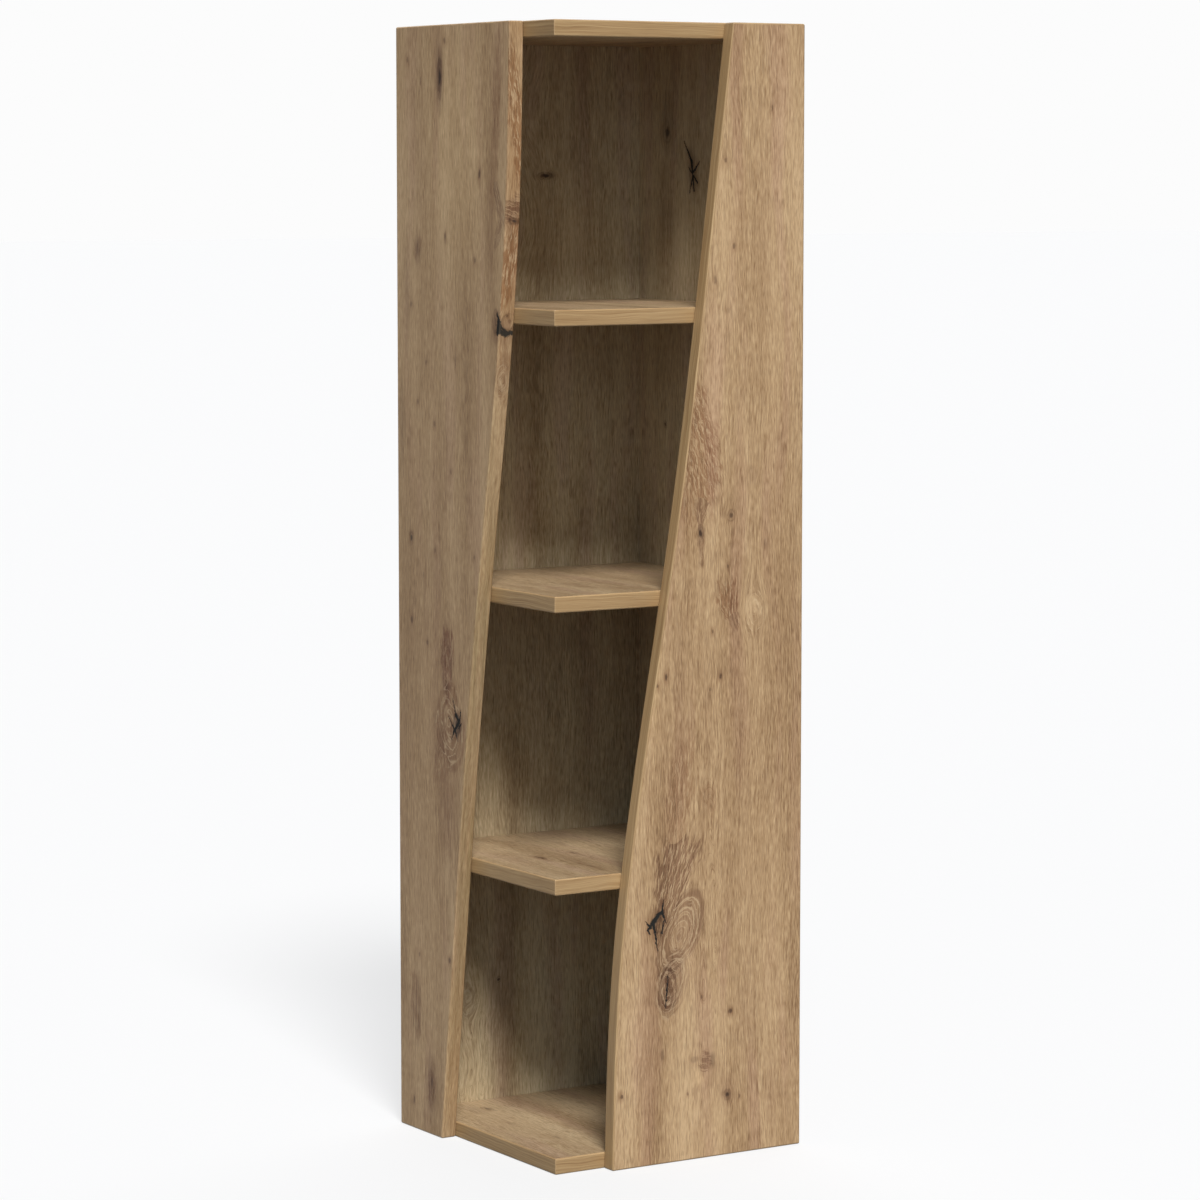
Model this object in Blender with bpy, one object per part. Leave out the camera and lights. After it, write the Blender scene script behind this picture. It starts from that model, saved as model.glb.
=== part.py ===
"""Corner shelf cabinet: five square boards held between two full-height back
panels and two full-height front panels. Both front panels share one curved
outline; the one on the left stands on its narrow end, the one on the right on
its wide end. The boards are screwed through the back panels and drawn up to
the front panels with cam locks, so that no fastener shows from the front.

Frame: origin at the middle of the footprint on the floor, +Z up, +X and +Y
towards the two walls. The open front corner points to -X, -Y.
Units: metres.
"""
import math

import bmesh
import bpy
from mathutils import Matrix, Vector

# ---------------------------------------------------------------- dimensions
HEIGHT = 1.320
SIDE = 0.348                 # footprint, both ways
BOARD_T = 0.019              # shelves and front panels
BACK_T = 0.016               # back panels
GAP = 0.0003                 # left between touching pieces
ARRIS = 0.0020               # rounding of the banded edges that show
ARRIS_STEPS = 3
FRONT_CORNER_ARRIS = 0.6     # share of it at a board's own front corner
HIDDEN_ARRIS = 0.2           # and where a board meets the back panels
BACK_ARRIS = 0.4             # and on the back panels

# Width of a front panel, from its wide end (station 0) to its narrow end, at
# equal steps of height. The free edge is a smooth curve through these.
OUTLINE_WIDTHS = (0.263, 0.254, 0.226, 0.1885, 0.155, 0.127, 0.100)
OUTLINE_STEPS = 48           # straight pieces along the curve

# Screws through the back panels into the board edges
SCREW_LENGTH = 0.050
SCREW_HEAD_R = 0.0048
SCREW_SHANK_R = 0.0031
SCREW_THREAD_R = 0.0034
SCREW_SOCKET_R = 0.0023      # across corners, half
SCREW_INSET = 0.075          # from the board's own corner
SCREW_SINK = 0.0004          # head below the panel's face
CORNER_SCREW_Z = (0.172, 0.497, 0.823, 1.148)

# Cam locks between the boards and the front panels
CAM_R = 0.0073
CAM_HEIGHT = 0.0125
CAM_INSET = 0.034            # cam centre to the board's edge
CAM_FROM_BACK = 0.043        # cam centre to the back panel
BOLT_IN_PANEL = 0.0115
BOLT_R = 0.0030
BOLT_COLLAR_R = 0.0036
BOLT_NECK_R = 0.0022
BOLT_HEAD_R = 0.0034

# Dowels beside the cam locks where the joint is long enough
DOWEL_R = 0.0040
DOWEL_LENGTH = 0.030
DOWEL_IN_PANEL = 0.0100
DOWEL_FROM_EDGE = 0.050      # to the panel's free edge

ROUND = 12                   # sides of a turned piece and of its hole
CAM_SIDES = 16
FIT = 0.0003                 # clearance of a hole round what it holds

# ------------------------------------------------------------------- derived
HALF = SIDE / 2
BOARD_LO = -HALF + BOARD_T + GAP
BOARD_HI = HALF - BACK_T - GAP
BACK_FACE = HALF - BACK_T    # inner face of the back panels
FRONT_FACE = -HALF + BOARD_T  # inner face of the front panels
PITCH = (HEIGHT - BOARD_T) / 4
BOARD_NAMES = ("bottom_board", "lower_shelf", "middle_shelf", "upper_shelf", "top_board")
LEVELS = ("bottom", "lower", "middle", "upper", "top")
BOARD_Z = [i * PITCH for i in range(5)]                  # underside of each board
BOARD_MID = [z + BOARD_T / 2 for z in BOARD_Z]


def clear_scene():
    for ob in list(bpy.data.objects):
        bpy.data.objects.remove(ob, do_unlink=True)
    for mesh in list(bpy.data.meshes):
        bpy.data.meshes.remove(mesh)


def material(name, colour, roughness, metallic=0.0):
    mat = bpy.data.materials.new(name)
    mat.use_nodes = True
    shader = mat.node_tree.nodes["Principled BSDF"]
    shader.inputs["Base Color"].default_value = (*colour, 1.0)
    shader.inputs["Roughness"].default_value = roughness
    shader.inputs["Metallic"].default_value = metallic
    mat.diffuse_color = (*colour, 1.0)
    return mat


# ------------------------------------------------------------ panel outline
def curve_through(values, t):
    """A natural cubic through values at equal steps, t from 0 to 1."""
    n = len(values) - 1
    # second differences of a natural cubic spline, by elimination
    a = [0.0] * (n + 1)
    c = [0.0] * (n + 1)
    d = [0.0] * (n + 1)
    for i in range(1, n):
        rhs = 6 * (values[i + 1] - 2 * values[i] + values[i - 1])
        w = 4 - c[i - 1]
        c[i] = 1 / w
        d[i] = (rhs - d[i - 1]) / w
    for i in range(n - 1, 0, -1):
        a[i] = d[i] - c[i] * a[i + 1]
    x = min(max(t, 0.0), 1.0) * n
    i = min(int(x), n - 1)
    f = x - i
    g = 1 - f
    return (g * values[i] + f * values[i + 1]
            + ((g ** 3 - g) * a[i] + (f ** 3 - f) * a[i + 1]) / 6)


def panel_width(from_wide_end):
    """Width of a front panel at a distance from its wide end."""
    return curve_through(OUTLINE_WIDTHS, from_wide_end / HEIGHT)


# ------------------------------------------------------------- mesh helpers
def finish_mesh(bm, name):
    bmesh.ops.recalc_face_normals(bm, faces=bm.faces)
    mesh = bpy.data.meshes.new(name)
    bm.to_mesh(mesh)
    bm.free()
    return mesh


def turned(bm, profile, place, sides=ROUND, hexagons=()):
    """A closed turned body: rings of (distance along, radius), first to last,
    with its axis laid along local +Z of place. Rings listed in hexagons are
    hexagons of that radius across corners."""
    rings = []
    for index, (along, radius) in enumerate(profile):
        ring = []
        for k in range(sides):
            angle = 2 * math.pi * k / sides
            r = radius
            if index in hexagons and k % 2:
                r = radius * math.cos(math.pi / 6)
            ring.append(bm.verts.new(place @ Vector((r * math.cos(angle), r * math.sin(angle), along))))
        rings.append(ring)
    for lower, upper in zip(rings, rings[1:]):
        for k in range(sides):
            bm.faces.new((lower[k], lower[(k + 1) % sides], upper[(k + 1) % sides], upper[k]))
    bm.faces.new(rings[0][::-1])
    bm.faces.new(rings[-1])


def box(bm, lo, hi, place=Matrix.Identity(4)):
    corners = [bm.verts.new(place @ Vector((x, y, z))) for z in (lo[2], hi[2]) for y in (lo[1], hi[1]) for x in (lo[0], hi[0])]
    for f in ((0, 2, 3, 1), (4, 5, 7, 6), (0, 1, 5, 4), (2, 6, 7, 3), (0, 4, 6, 2), (1, 3, 7, 5)):
        bm.faces.new([corners[i] for i in f])


def along(origin, direction):
    """A frame at origin with its +Z along direction."""
    turn = Vector((0, 0, 1)).rotation_difference(Vector(direction)).to_matrix().to_4x4()
    return Matrix.Translation(Vector(origin)) @ turn


ROOT = None


def add_object(name, mesh, mat, location=(0, 0, 0), direction=None):
    ob = bpy.data.objects.new(name, mesh)
    bpy.context.collection.objects.link(ob)
    if mat is not None and not mesh.materials:
        mesh.materials.append(mat)
    ob.parent = ROOT
    ob.location = location
    if direction is not None:
        ob.rotation_mode = "QUATERNION"
        ob.rotation_quaternion = Vector((0, 0, 1)).rotation_difference(Vector(direction))
    return ob


def board(name, lo, hi, mat, share, drill=None):
    """A square-edged board with its arrises rounded, then drilled. share
    gives an edge's part of the full rounding from the edge's two ends, as
    seen from the board's centre."""
    centre = [(a + b) / 2 for a, b in zip(lo, hi)]
    bm = bmesh.new()
    box(bm, [a - c for a, c in zip(lo, centre)], [b - c for b, c in zip(hi, centre)])
    weigh_edges(bm, share)
    ob = add_object(name, finish_mesh(bm, name), mat, location=centre)
    round_edges(ob)
    if drill:
        drilled(ob, drill)
    return ob


def weigh_edges(bm, share):
    weight = bm.edges.layers.float.new("bevel_weight_edge")
    for edge in bm.edges:
        edge[weight] = share(*[v.co for v in edge.verts])


def shelf_edge(a, b):
    """Full rounding along the two open sides, little at the walls."""
    if a.x < 0 and b.x < 0 and a.y < 0 and b.y < 0:
        return FRONT_CORNER_ARRIS
    if (a.x < 0 and b.x < 0 and a.y * b.y < 0) or (a.y < 0 and b.y < 0 and a.x * b.x < 0):
        return 1.0
    return HIDDEN_ARRIS


def back_edge(a, b):
    return BACK_ARRIS


def round_edges(ob):
    bevel = ob.modifiers.new("arris", "BEVEL")
    bevel.width = ARRIS
    bevel.segments = ARRIS_STEPS
    bevel.limit_method = "WEIGHT"
    bevel.use_clamp_overlap = True
    bevel.harden_normals = False


def drilled(ob, drill):
    """Cuts every hole of a board with one cutter. drill adds the holes'
    bodies, in world coordinates, to the bmesh that it is given."""
    bm = bmesh.new()
    drill(bm)
    mesh = finish_mesh(bm, ob.name + "_holes")
    cutter = bpy.data.objects.new(ob.name + "_holes", mesh)
    bpy.context.collection.objects.link(cutter)
    cutter.parent = ROOT
    cutter.hide_render = True
    cutter.display_type = "WIRE"
    cut = ob.modifiers.new("holes", "BOOLEAN")
    cut.operation = "DIFFERENCE"
    cut.solver = "EXACT"
    cut.object = cutter
    return cutter


# ------------------------------------------------------------ hole patterns
OVER = 0.002                 # how far a cutter runs out past a face


def screw_profile():
    """Head first: rings from the bottom of the hexagon socket out and down to
    the tip, along the screw's own axis, which points out of the head."""
    top = -SCREW_SINK
    return [
        (top - 0.0026, SCREW_SOCKET_R),
        (top, SCREW_SOCKET_R),
        (top, SCREW_HEAD_R),
        (top - 0.0008, SCREW_HEAD_R),
        (top - 0.0026, SCREW_SHANK_R),
        (top - 0.0120, SCREW_SHANK_R),
        (top - 0.0126, SCREW_THREAD_R),
        (top - SCREW_LENGTH + 0.0050, SCREW_THREAD_R),
        (top - SCREW_LENGTH, 0.0012),
    ]


def screw_hole_panel(bm, face, out):
    """Countersunk hole through a back panel; out points out of the panel."""
    place = along(face, out)
    top = -SCREW_SINK
    turned(bm, [
        (-BACK_T - OVER, SCREW_THREAD_R + FIT),
        (top - 0.0030, SCREW_THREAD_R + FIT),
        (top - 0.0012, SCREW_HEAD_R + FIT),
        (OVER, SCREW_HEAD_R + FIT),
    ], place)


def screw_hole_edge(bm, face, out):
    """The blind hole in the edge behind the back panel."""
    place = along(face, out)
    turned(bm, [
        (-SCREW_SINK - SCREW_LENGTH - 0.002, SCREW_THREAD_R + FIT),
        (-BACK_T + OVER, SCREW_THREAD_R + FIT),
    ], place)


def bolt_hole_panel(bm, face, inward):
    """Blind hole in a front panel's inner face for a cam bolt's thread."""
    place = along(face, inward)
    turned(bm, [(-BOLT_IN_PANEL - 0.001, BOLT_R + FIT), (OVER, BOLT_R + FIT)], place)


def bolt_hole_board(bm, edge, inward):
    """Bore from a board's edge to its cam pocket."""
    place = along(edge, inward)
    turned(bm, [(-OVER, BOLT_COLLAR_R + 0.0004), (CAM_INSET, BOLT_COLLAR_R + 0.0004)], place)


def dowel_hole(bm, face, inward, depth, back):
    place = along(face, inward)
    turned(bm, [(-back, DOWEL_R + FIT), (depth, DOWEL_R + FIT)], place)


# Places of the fasteners -----------------------------------------------------
SCREW_AT = (BOARD_LO + SCREW_INSET, BOARD_HI - SCREW_INSET)
CAM_AT = BACK_FACE - CAM_FROM_BACK
LEFT_DOWELS = (2, 3, 4)      # board levels where the left front panel is wide
RIGHT_DOWELS = (0, 1, 2)


def left_width(z):
    return panel_width(HEIGHT - z)


def right_width(z):
    return panel_width(z)


def dowel_at(width):
    return HALF - width + DOWEL_FROM_EDGE


def holes_left_back(bm):
    for z in BOARD_MID:
        for x in SCREW_AT:
            screw_hole_panel(bm, (x, HALF, z), (0, 1, 0))
    for z in CORNER_SCREW_Z:
        screw_hole_panel(bm, (HALF - BACK_T / 2, HALF, z), (0, 1, 0))


def holes_right_back(bm):
    for z in BOARD_MID:
        for y in SCREW_AT:
            screw_hole_panel(bm, (HALF, y, z), (1, 0, 0))
    for z in CORNER_SCREW_Z:
        screw_hole_edge(bm, (HALF - BACK_T / 2, HALF, z), (0, 1, 0))


def holes_left_front(bm):
    for level, z in enumerate(BOARD_MID):
        bolt_hole_panel(bm, (FRONT_FACE, CAM_AT, z), (1, 0, 0))
        if level in LEFT_DOWELS:
            dowel_hole(bm, (FRONT_FACE, dowel_at(left_width(z)), z), (1, 0, 0), OVER, DOWEL_IN_PANEL + 0.001)


def holes_right_front(bm):
    for level, z in enumerate(BOARD_MID):
        bolt_hole_panel(bm, (CAM_AT, FRONT_FACE, z), (0, 1, 0))
        if level in RIGHT_DOWELS:
            dowel_hole(bm, (dowel_at(right_width(z)), FRONT_FACE, z), (0, 1, 0), OVER, DOWEL_IN_PANEL + 0.001)


def holes_board(level):
    z = BOARD_MID[level]
    under = BOARD_Z[level]
    deep = DOWEL_LENGTH - DOWEL_IN_PANEL + 0.001

    def drill(bm):
        for s in SCREW_AT:
            screw_hole_edge(bm, (s, HALF, z), (0, 1, 0))
            screw_hole_edge(bm, (HALF, s, z), (1, 0, 0))
        bolt_hole_board(bm, (FRONT_FACE, CAM_AT, z), (1, 0, 0))
        bolt_hole_board(bm, (CAM_AT, FRONT_FACE, z), (0, 1, 0))
        if level in LEFT_DOWELS:
            dowel_hole(bm, (FRONT_FACE, dowel_at(left_width(z)), z), (1, 0, 0), deep, OVER)
        if level in RIGHT_DOWELS:
            dowel_hole(bm, (dowel_at(right_width(z)), FRONT_FACE, z), (0, 1, 0), deep, OVER)

    def pockets(bm):
        for x, y in ((FRONT_FACE + CAM_INSET, CAM_AT), (CAM_AT, FRONT_FACE + CAM_INSET)):
            turned(bm, [(under - OVER, CAM_R + FIT), (under + CAM_HEIGHT + 0.0008, CAM_R + FIT)],
                   Matrix.Translation((x, y, 0)), sides=CAM_SIDES)

    return drill, pockets


# ------------------------------------------------------------- whole pieces
def front_panel(name, wide_end_up, on_left, mat, drill):
    """A full-height panel with one straight edge at the wall side and the
    curved edge free."""
    outline = [(HALF, 0.0), (HALF, HEIGHT)]
    steps = [HEIGHT * i / OUTLINE_STEPS for i in range(OUTLINE_STEPS + 1)]
    for z in reversed(steps):
        width = panel_width(HEIGHT - z if wide_end_up else z)
        outline.append((HALF - width, z))
    bm = bmesh.new()
    if on_left:              # thickness along X, width along Y
        points = [Vector((-HALF, w, z)) for w, z in outline]
        thick = Vector((BOARD_T, 0, 0))
    else:                    # thickness along Y, width along X
        points = [Vector((w, -HALF, z)) for w, z in outline]
        thick = Vector((0, BOARD_T, 0))
    near = [bm.verts.new(p) for p in points]
    face = bm.faces.new(near)
    grown = bmesh.ops.extrude_face_region(bm, geom=[face])
    bmesh.ops.translate(bm, vec=thick, verts=[g for g in grown["geom"] if isinstance(g, bmesh.types.BMVert)])
    bmesh.ops.recalc_face_normals(bm, faces=bm.faces)
    weight = bm.edges.layers.float.new("bevel_weight_edge")
    for edge in bm.edges:    # not between the straight pieces of the curve
        edge[weight] = 1.0 if edge.calc_face_angle() > math.radians(40) else 0.0
    ob = add_object(name, finish_mesh(bm, name), mat)
    round_edges(ob)
    drilled(ob, drill)
    return ob


def cam_mesh(mat):
    """A cam lock: a short drum, open at one side for the bolt's head, with a
    cross recess in the face that shows. Local +Z points out of the board and
    local +X towards the bolt."""
    bm = bmesh.new()
    turned(bm, [(-CAM_HEIGHT, CAM_R), (-0.0006, CAM_R), (0.0, CAM_R - 0.0006)], Matrix.Identity(4), sides=CAM_SIDES)
    body = bpy.data.objects.new("cam_body", finish_mesh(bm, "cam_body"))
    bpy.context.collection.objects.link(body)
    bm = bmesh.new()
    # the bolt's centre line lies half a board above the cam's face
    middle = -BOARD_T / 2
    half = BOLT_HEAD_R + 0.0006
    box(bm, (-0.0052, -half, -CAM_HEIGHT - OVER), (CAM_R + OVER, half, middle + half))
    claw = bpy.data.objects.new("cam_claw", finish_mesh(bm, "cam_claw"))
    bm = bmesh.new()
    arm, wide, deep = 0.0042, 0.0009, 0.0016
    cross = [(arm, wide), (wide, wide), (wide, arm), (-wide, arm), (-wide, wide), (-arm, wide),
             (-arm, -wide), (-wide, -wide), (-wide, -arm), (wide, -arm), (wide, -wide), (arm, -wide)]
    low = [bm.verts.new((x, y, -deep)) for x, y in cross]
    face = bm.faces.new(low)
    grown = bmesh.ops.extrude_face_region(bm, geom=[face])
    bmesh.ops.translate(bm, vec=(0, 0, deep + OVER), verts=[g for g in grown["geom"] if isinstance(g, bmesh.types.BMVert)])
    recess = bpy.data.objects.new("cam_recess", finish_mesh(bm, "cam_recess"))
    for tool in (claw, recess):
        bpy.context.collection.objects.link(tool)
        cut = body.modifiers.new(tool.name, "BOOLEAN")
        cut.operation = "DIFFERENCE"
        cut.solver = "EXACT"
        cut.object = tool
    ready = body.evaluated_get(bpy.context.evaluated_depsgraph_get())
    mesh = bpy.data.meshes.new_from_object(ready)
    mesh.name = "cam"
    for ob in (body, claw, recess):
        bpy.data.objects.remove(ob, do_unlink=True)
    mesh.materials.clear()
    mesh.materials.append(mat)
    return mesh


def turned_mesh(name, profile, mat, hexagons=(), sides=ROUND):
    bm = bmesh.new()
    turned(bm, profile, Matrix.Identity(4), sides=sides, hexagons=hexagons)
    mesh = finish_mesh(bm, name)
    mesh.materials.append(mat)
    mesh.shade_smooth()
    mesh.set_sharp_from_angle(angle=math.radians(35))
    return mesh


def bolt_profile():
    """From the thread's end in the panel, at the panel's face 0, to the head
    in the cam."""
    reach = CAM_INSET
    return [
        (-BOLT_IN_PANEL, BOLT_R - 0.0008),
        (-BOLT_IN_PANEL + 0.0010, BOLT_R),
        (0.0004, BOLT_R),
        (0.0008, BOLT_COLLAR_R),
        (0.0026, BOLT_COLLAR_R),
        (0.0030, BOLT_NECK_R),
        (reach - 0.0010, BOLT_NECK_R),
        (reach + 0.0006, BOLT_HEAD_R),
        (reach + 0.0030, BOLT_HEAD_R),
    ]


def main():
    global ROOT
    clear_scene()
    ROOT = bpy.data.objects.new("corner_cabinet", None)
    bpy.context.collection.objects.link(ROOT)

    front = material("front_panel_oak", (0.50, 0.34, 0.19), 0.42)
    back = material("back_panel_oak", (0.44, 0.30, 0.17), 0.45)
    shelf = material("board_oak", (0.47, 0.32, 0.18), 0.40)
    steel = material("screw_steel", (0.55, 0.55, 0.56), 0.32, 1.0)
    zinc = material("cam_zinc", (0.48, 0.49, 0.51), 0.45, 1.0)
    brass = material("bolt_steel", (0.60, 0.55, 0.42), 0.30, 1.0)
    beech = material("dowel_beech", (0.62, 0.45, 0.28), 0.60)

    # panels
    front_panel("left_front_panel", True, True, front, holes_left_front)
    front_panel("right_front_panel", False, False, front, holes_right_front)
    board("left_back_panel", (BOARD_LO, BACK_FACE, 0), (HALF, HALF, HEIGHT), back, back_edge, holes_left_back)
    board("right_back_panel", (BACK_FACE, BOARD_LO, 0), (HALF, BACK_FACE - GAP, HEIGHT), back, back_edge,
          holes_right_back)

    # boards
    for level, name in enumerate(BOARD_NAMES):
        drill, pockets = holes_board(level)
        ob = board(name, (BOARD_LO, BOARD_LO, BOARD_Z[level]),
                   (BOARD_HI, BOARD_HI, BOARD_Z[level] + BOARD_T), shelf, shelf_edge, drill)
        bm = bmesh.new()
        pockets(bm)
        mesh = finish_mesh(bm, name + "_pockets")
        cutter = bpy.data.objects.new(name + "_pockets", mesh)
        bpy.context.collection.objects.link(cutter)
        cutter.parent = ROOT
        cutter.hide_render = True
        cutter.display_type = "WIRE"
        cut = ob.modifiers.new("pockets", "BOOLEAN")
        cut.operation = "DIFFERENCE"
        cut.solver = "EXACT"
        cut.object = cutter

    # screws
    screw = turned_mesh("screw", screw_profile(), steel, hexagons=(0, 1))
    for level, z in zip(LEVELS, BOARD_MID):
        for number, s in enumerate(SCREW_AT, 1):
            add_object(f"screw_left_{level}_{number}", screw, None, (s, HALF, z), (0, 1, 0))
            add_object(f"screw_right_{level}_{number}", screw, None, (HALF, s, z), (1, 0, 0))
    for number, z in enumerate(CORNER_SCREW_Z, 1):
        add_object(f"screw_corner_{number}", screw, None, (HALF - BACK_T / 2, HALF, z), (0, 1, 0))

    # cam locks and their bolts
    bolt = turned_mesh("cam_bolt", bolt_profile(), brass, sides=10)
    cam = cam_mesh(zinc)
    for level, (name, z) in enumerate(zip(LEVELS, BOARD_MID)):
        add_object(f"cam_bolt_left_{name}", bolt, None, (FRONT_FACE, CAM_AT, z), (1, 0, 0))
        add_object(f"cam_bolt_right_{name}", bolt, None, (CAM_AT, FRONT_FACE, z), (0, 1, 0))
        under = BOARD_Z[level] + 0.0003
        for side, at, heading in (("left", (FRONT_FACE + CAM_INSET, CAM_AT, under), Vector((-1, 0, 0))),
                                  ("right", (CAM_AT, FRONT_FACE + CAM_INSET, under), Vector((0, -1, 0)))):
            ob = add_object(f"cam_{side}_{name}", cam, None, at)
            z_axis = Vector((0, 0, -1))
            y_axis = z_axis.cross(heading)
            ob.rotation_mode = "QUATERNION"
            ob.rotation_quaternion = Matrix((heading, y_axis, z_axis)).transposed().to_quaternion()

    # dowels
    dowel = turned_mesh("dowel", [
        (-DOWEL_IN_PANEL, DOWEL_R - 0.0012), (-DOWEL_IN_PANEL + 0.0014, DOWEL_R),
        (DOWEL_LENGTH - DOWEL_IN_PANEL - 0.0014, DOWEL_R), (DOWEL_LENGTH - DOWEL_IN_PANEL, DOWEL_R - 0.0012)], beech)
    for level in LEFT_DOWELS:
        z = BOARD_MID[level]
        add_object(f"dowel_left_{LEVELS[level]}", dowel, None, (FRONT_FACE, dowel_at(left_width(z)), z), (1, 0, 0))
    for level in RIGHT_DOWELS:
        z = BOARD_MID[level]
        add_object(f"dowel_right_{LEVELS[level]}", dowel, None, (dowel_at(right_width(z)), FRONT_FACE, z), (0, 1, 0))


main()
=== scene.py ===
"""Looks for a corner shelf cabinet in a knotty oak decor: grain, knots and
cracks on every board, banded edges with rounded arrises, and the screws, cam
locks, bolts and dowels that hold it together. Metres, +Z up."""
import math

import bmesh
import bpy
from mathutils import Matrix, Vector


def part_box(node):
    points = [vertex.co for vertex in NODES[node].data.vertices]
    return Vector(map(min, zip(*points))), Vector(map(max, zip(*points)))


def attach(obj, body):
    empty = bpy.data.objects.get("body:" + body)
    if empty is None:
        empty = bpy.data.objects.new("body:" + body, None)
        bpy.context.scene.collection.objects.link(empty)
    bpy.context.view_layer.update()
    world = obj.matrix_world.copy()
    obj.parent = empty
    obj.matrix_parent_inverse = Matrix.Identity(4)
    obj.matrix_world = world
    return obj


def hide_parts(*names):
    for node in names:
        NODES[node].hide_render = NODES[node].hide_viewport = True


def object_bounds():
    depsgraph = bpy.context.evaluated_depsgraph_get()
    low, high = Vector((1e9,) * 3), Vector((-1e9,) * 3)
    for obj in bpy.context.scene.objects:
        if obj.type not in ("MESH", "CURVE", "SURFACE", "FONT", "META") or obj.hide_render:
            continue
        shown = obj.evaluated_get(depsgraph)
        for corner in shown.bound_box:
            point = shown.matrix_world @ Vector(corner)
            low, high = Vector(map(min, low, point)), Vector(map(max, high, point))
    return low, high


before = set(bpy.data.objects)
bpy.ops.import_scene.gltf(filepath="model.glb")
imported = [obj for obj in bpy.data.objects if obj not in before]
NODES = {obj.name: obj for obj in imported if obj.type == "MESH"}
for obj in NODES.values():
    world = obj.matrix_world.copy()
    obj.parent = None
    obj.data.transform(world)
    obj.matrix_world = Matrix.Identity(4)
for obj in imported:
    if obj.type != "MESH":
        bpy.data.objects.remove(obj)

cad_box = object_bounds()
PITCH = 325.25               # between the boards' undersides, mm


# ------------------------------------------------------------- node building
def srgb(r, g, b):
    """An sRGB colour, 0 to 255, as a linear one."""
    def linear(v):
        v /= 255
        return v / 12.92 if v <= 0.04045 else ((v + 0.055) / 1.055) ** 2.4
    return (linear(r), linear(g), linear(b), 1.0)


class Val:
    """A node's output that can be reckoned with."""

    def __init__(self, graph, socket):
        self.graph, self.socket = graph, socket

    def __add__(self, other):
        return self.graph.math("ADD", self, other)

    __radd__ = __add__

    def __sub__(self, other):
        return self.graph.math("SUBTRACT", self, other)

    def __rsub__(self, other):
        return self.graph.math("SUBTRACT", other, self)

    def __mul__(self, other):
        return self.graph.math("MULTIPLY", self, other)

    __rmul__ = __mul__

    def __truediv__(self, other):
        return self.graph.math("DIVIDE", self, other)


class Graph:
    """Short names for the nodes that the materials are made of."""

    def __init__(self, tree):
        self.tree = tree
        tree.nodes.clear()

    def new(self, kind, **settings):
        node = self.tree.nodes.new(kind)
        for name, value in settings.items():
            setattr(node, name, value)
        return node

    def put(self, value, socket):
        if isinstance(value, Val):
            self.tree.links.new(value.socket, socket)
        elif value is not None:
            socket.default_value = value

    def math(self, operation, a, b=None, c=None, clamp=False):
        node = self.new("ShaderNodeMath", operation=operation, use_clamp=clamp)
        for value, socket in zip((a, b, c), node.inputs):
            self.put(value, socket)
        return Val(self, node.outputs[0])

    def vec(self, operation, a, b=None, c=None):
        node = self.new("ShaderNodeVectorMath", operation=operation)
        for value, socket in zip((a, b, c), node.inputs):
            self.put(value, socket)
        name = "Value" if operation in ("LENGTH", "DISTANCE", "DOT_PRODUCT") else "Vector"
        return Val(self, node.outputs[name])

    def join(self, x, y=0.0, z=0.0):
        node = self.new("ShaderNodeCombineXYZ")
        for value, socket in zip((x, y, z), node.inputs):
            self.put(value, socket)
        return Val(self, node.outputs[0])

    def split(self, vector):
        node = self.new("ShaderNodeSeparateXYZ")
        self.put(vector, node.inputs[0])
        return [Val(self, out) for out in node.outputs]

    def noise(self, vector, sx, sy, detail=0.0, rough=0.5, seed=(0.0, 0.0)):
        """Flat noise, 0 to 1, at sx by sy per millimetre."""
        at = self.vec("MULTIPLY_ADD", vector, (sx, sy, 0.0), (seed[0], seed[1], 0.0))
        node = self.new("ShaderNodeTexNoise", noise_dimensions="2D")
        self.put(at, node.inputs["Vector"])
        node.inputs["Scale"].default_value = 1.0
        node.inputs["Detail"].default_value = detail
        node.inputs["Roughness"].default_value = rough
        return Val(self, node.outputs[0])

    def ease(self, value, a, b, lo=0.0, hi=1.0, kind="SMOOTHSTEP"):
        """lo at value a, hi at value b, eased and held outside."""
        node = self.new("ShaderNodeMapRange", interpolation_type=kind, clamp=True)
        for v, name in ((value, "Value"), (a, "From Min"), (b, "From Max"), (lo, "To Min"), (hi, "To Max")):
            self.put(v, node.inputs[name])
        return Val(self, node.outputs[0])

    def mix(self, share, a, b, blend="MIX"):
        node = self.new("ShaderNodeMix", data_type="RGBA", blend_type=blend, clamp_factor=True)
        self.put(share, node.inputs[0])
        self.put(a, node.inputs[6])
        self.put(b, node.inputs[7])
        return Val(self, node.outputs[2])

    def swap(self, share, old, new):
        """old where share is 0, new where it is 1."""
        return old if old is new or old == new else share * (new - old) + old

    def ramp(self, value, stops):
        node = self.new("ShaderNodeValToRGB")
        self.put(value, node.inputs[0])
        elements = node.color_ramp.elements
        while len(elements) < len(stops):
            elements.new(0.5)
        for element, (place, colour) in zip(elements, stops):
            element.position = place
            element.color = colour
        return Val(self, node.outputs[0])



# ------------------------------------------------------------------ oak decor
# A feature's place and half size are millimetres on its own board: across the
# grain, then along it.
class Features:
    def __init__(self, knots=(), flecks=(), tints=(), slants=(), arches=(), cracks=(), feathers=(), brushes=(), swirls=()):
        self.knots = list(knots)      # see knot()
        self.flecks = list(flecks)    # across, along, half width, half length, darkness
        self.tints = list(tints)      # across, along, half width, half length, colour, amount
        self.slants = list(slants)    # across, along, half width, half length, slope of the grain
        self.arches = list(arches)    # across, tip, half width, length down, spread, lines per mm
        self.cracks = list(cracks)    # across, along, across, along, half width at each end
        self.feathers = list(feathers)  # across, along, half width, half length, amount
        self.brushes = list(brushes)  # see brush()
        self.swirls = list(swirls)    # across, along, half width, half length, lean, lines, colour, amount


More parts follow.
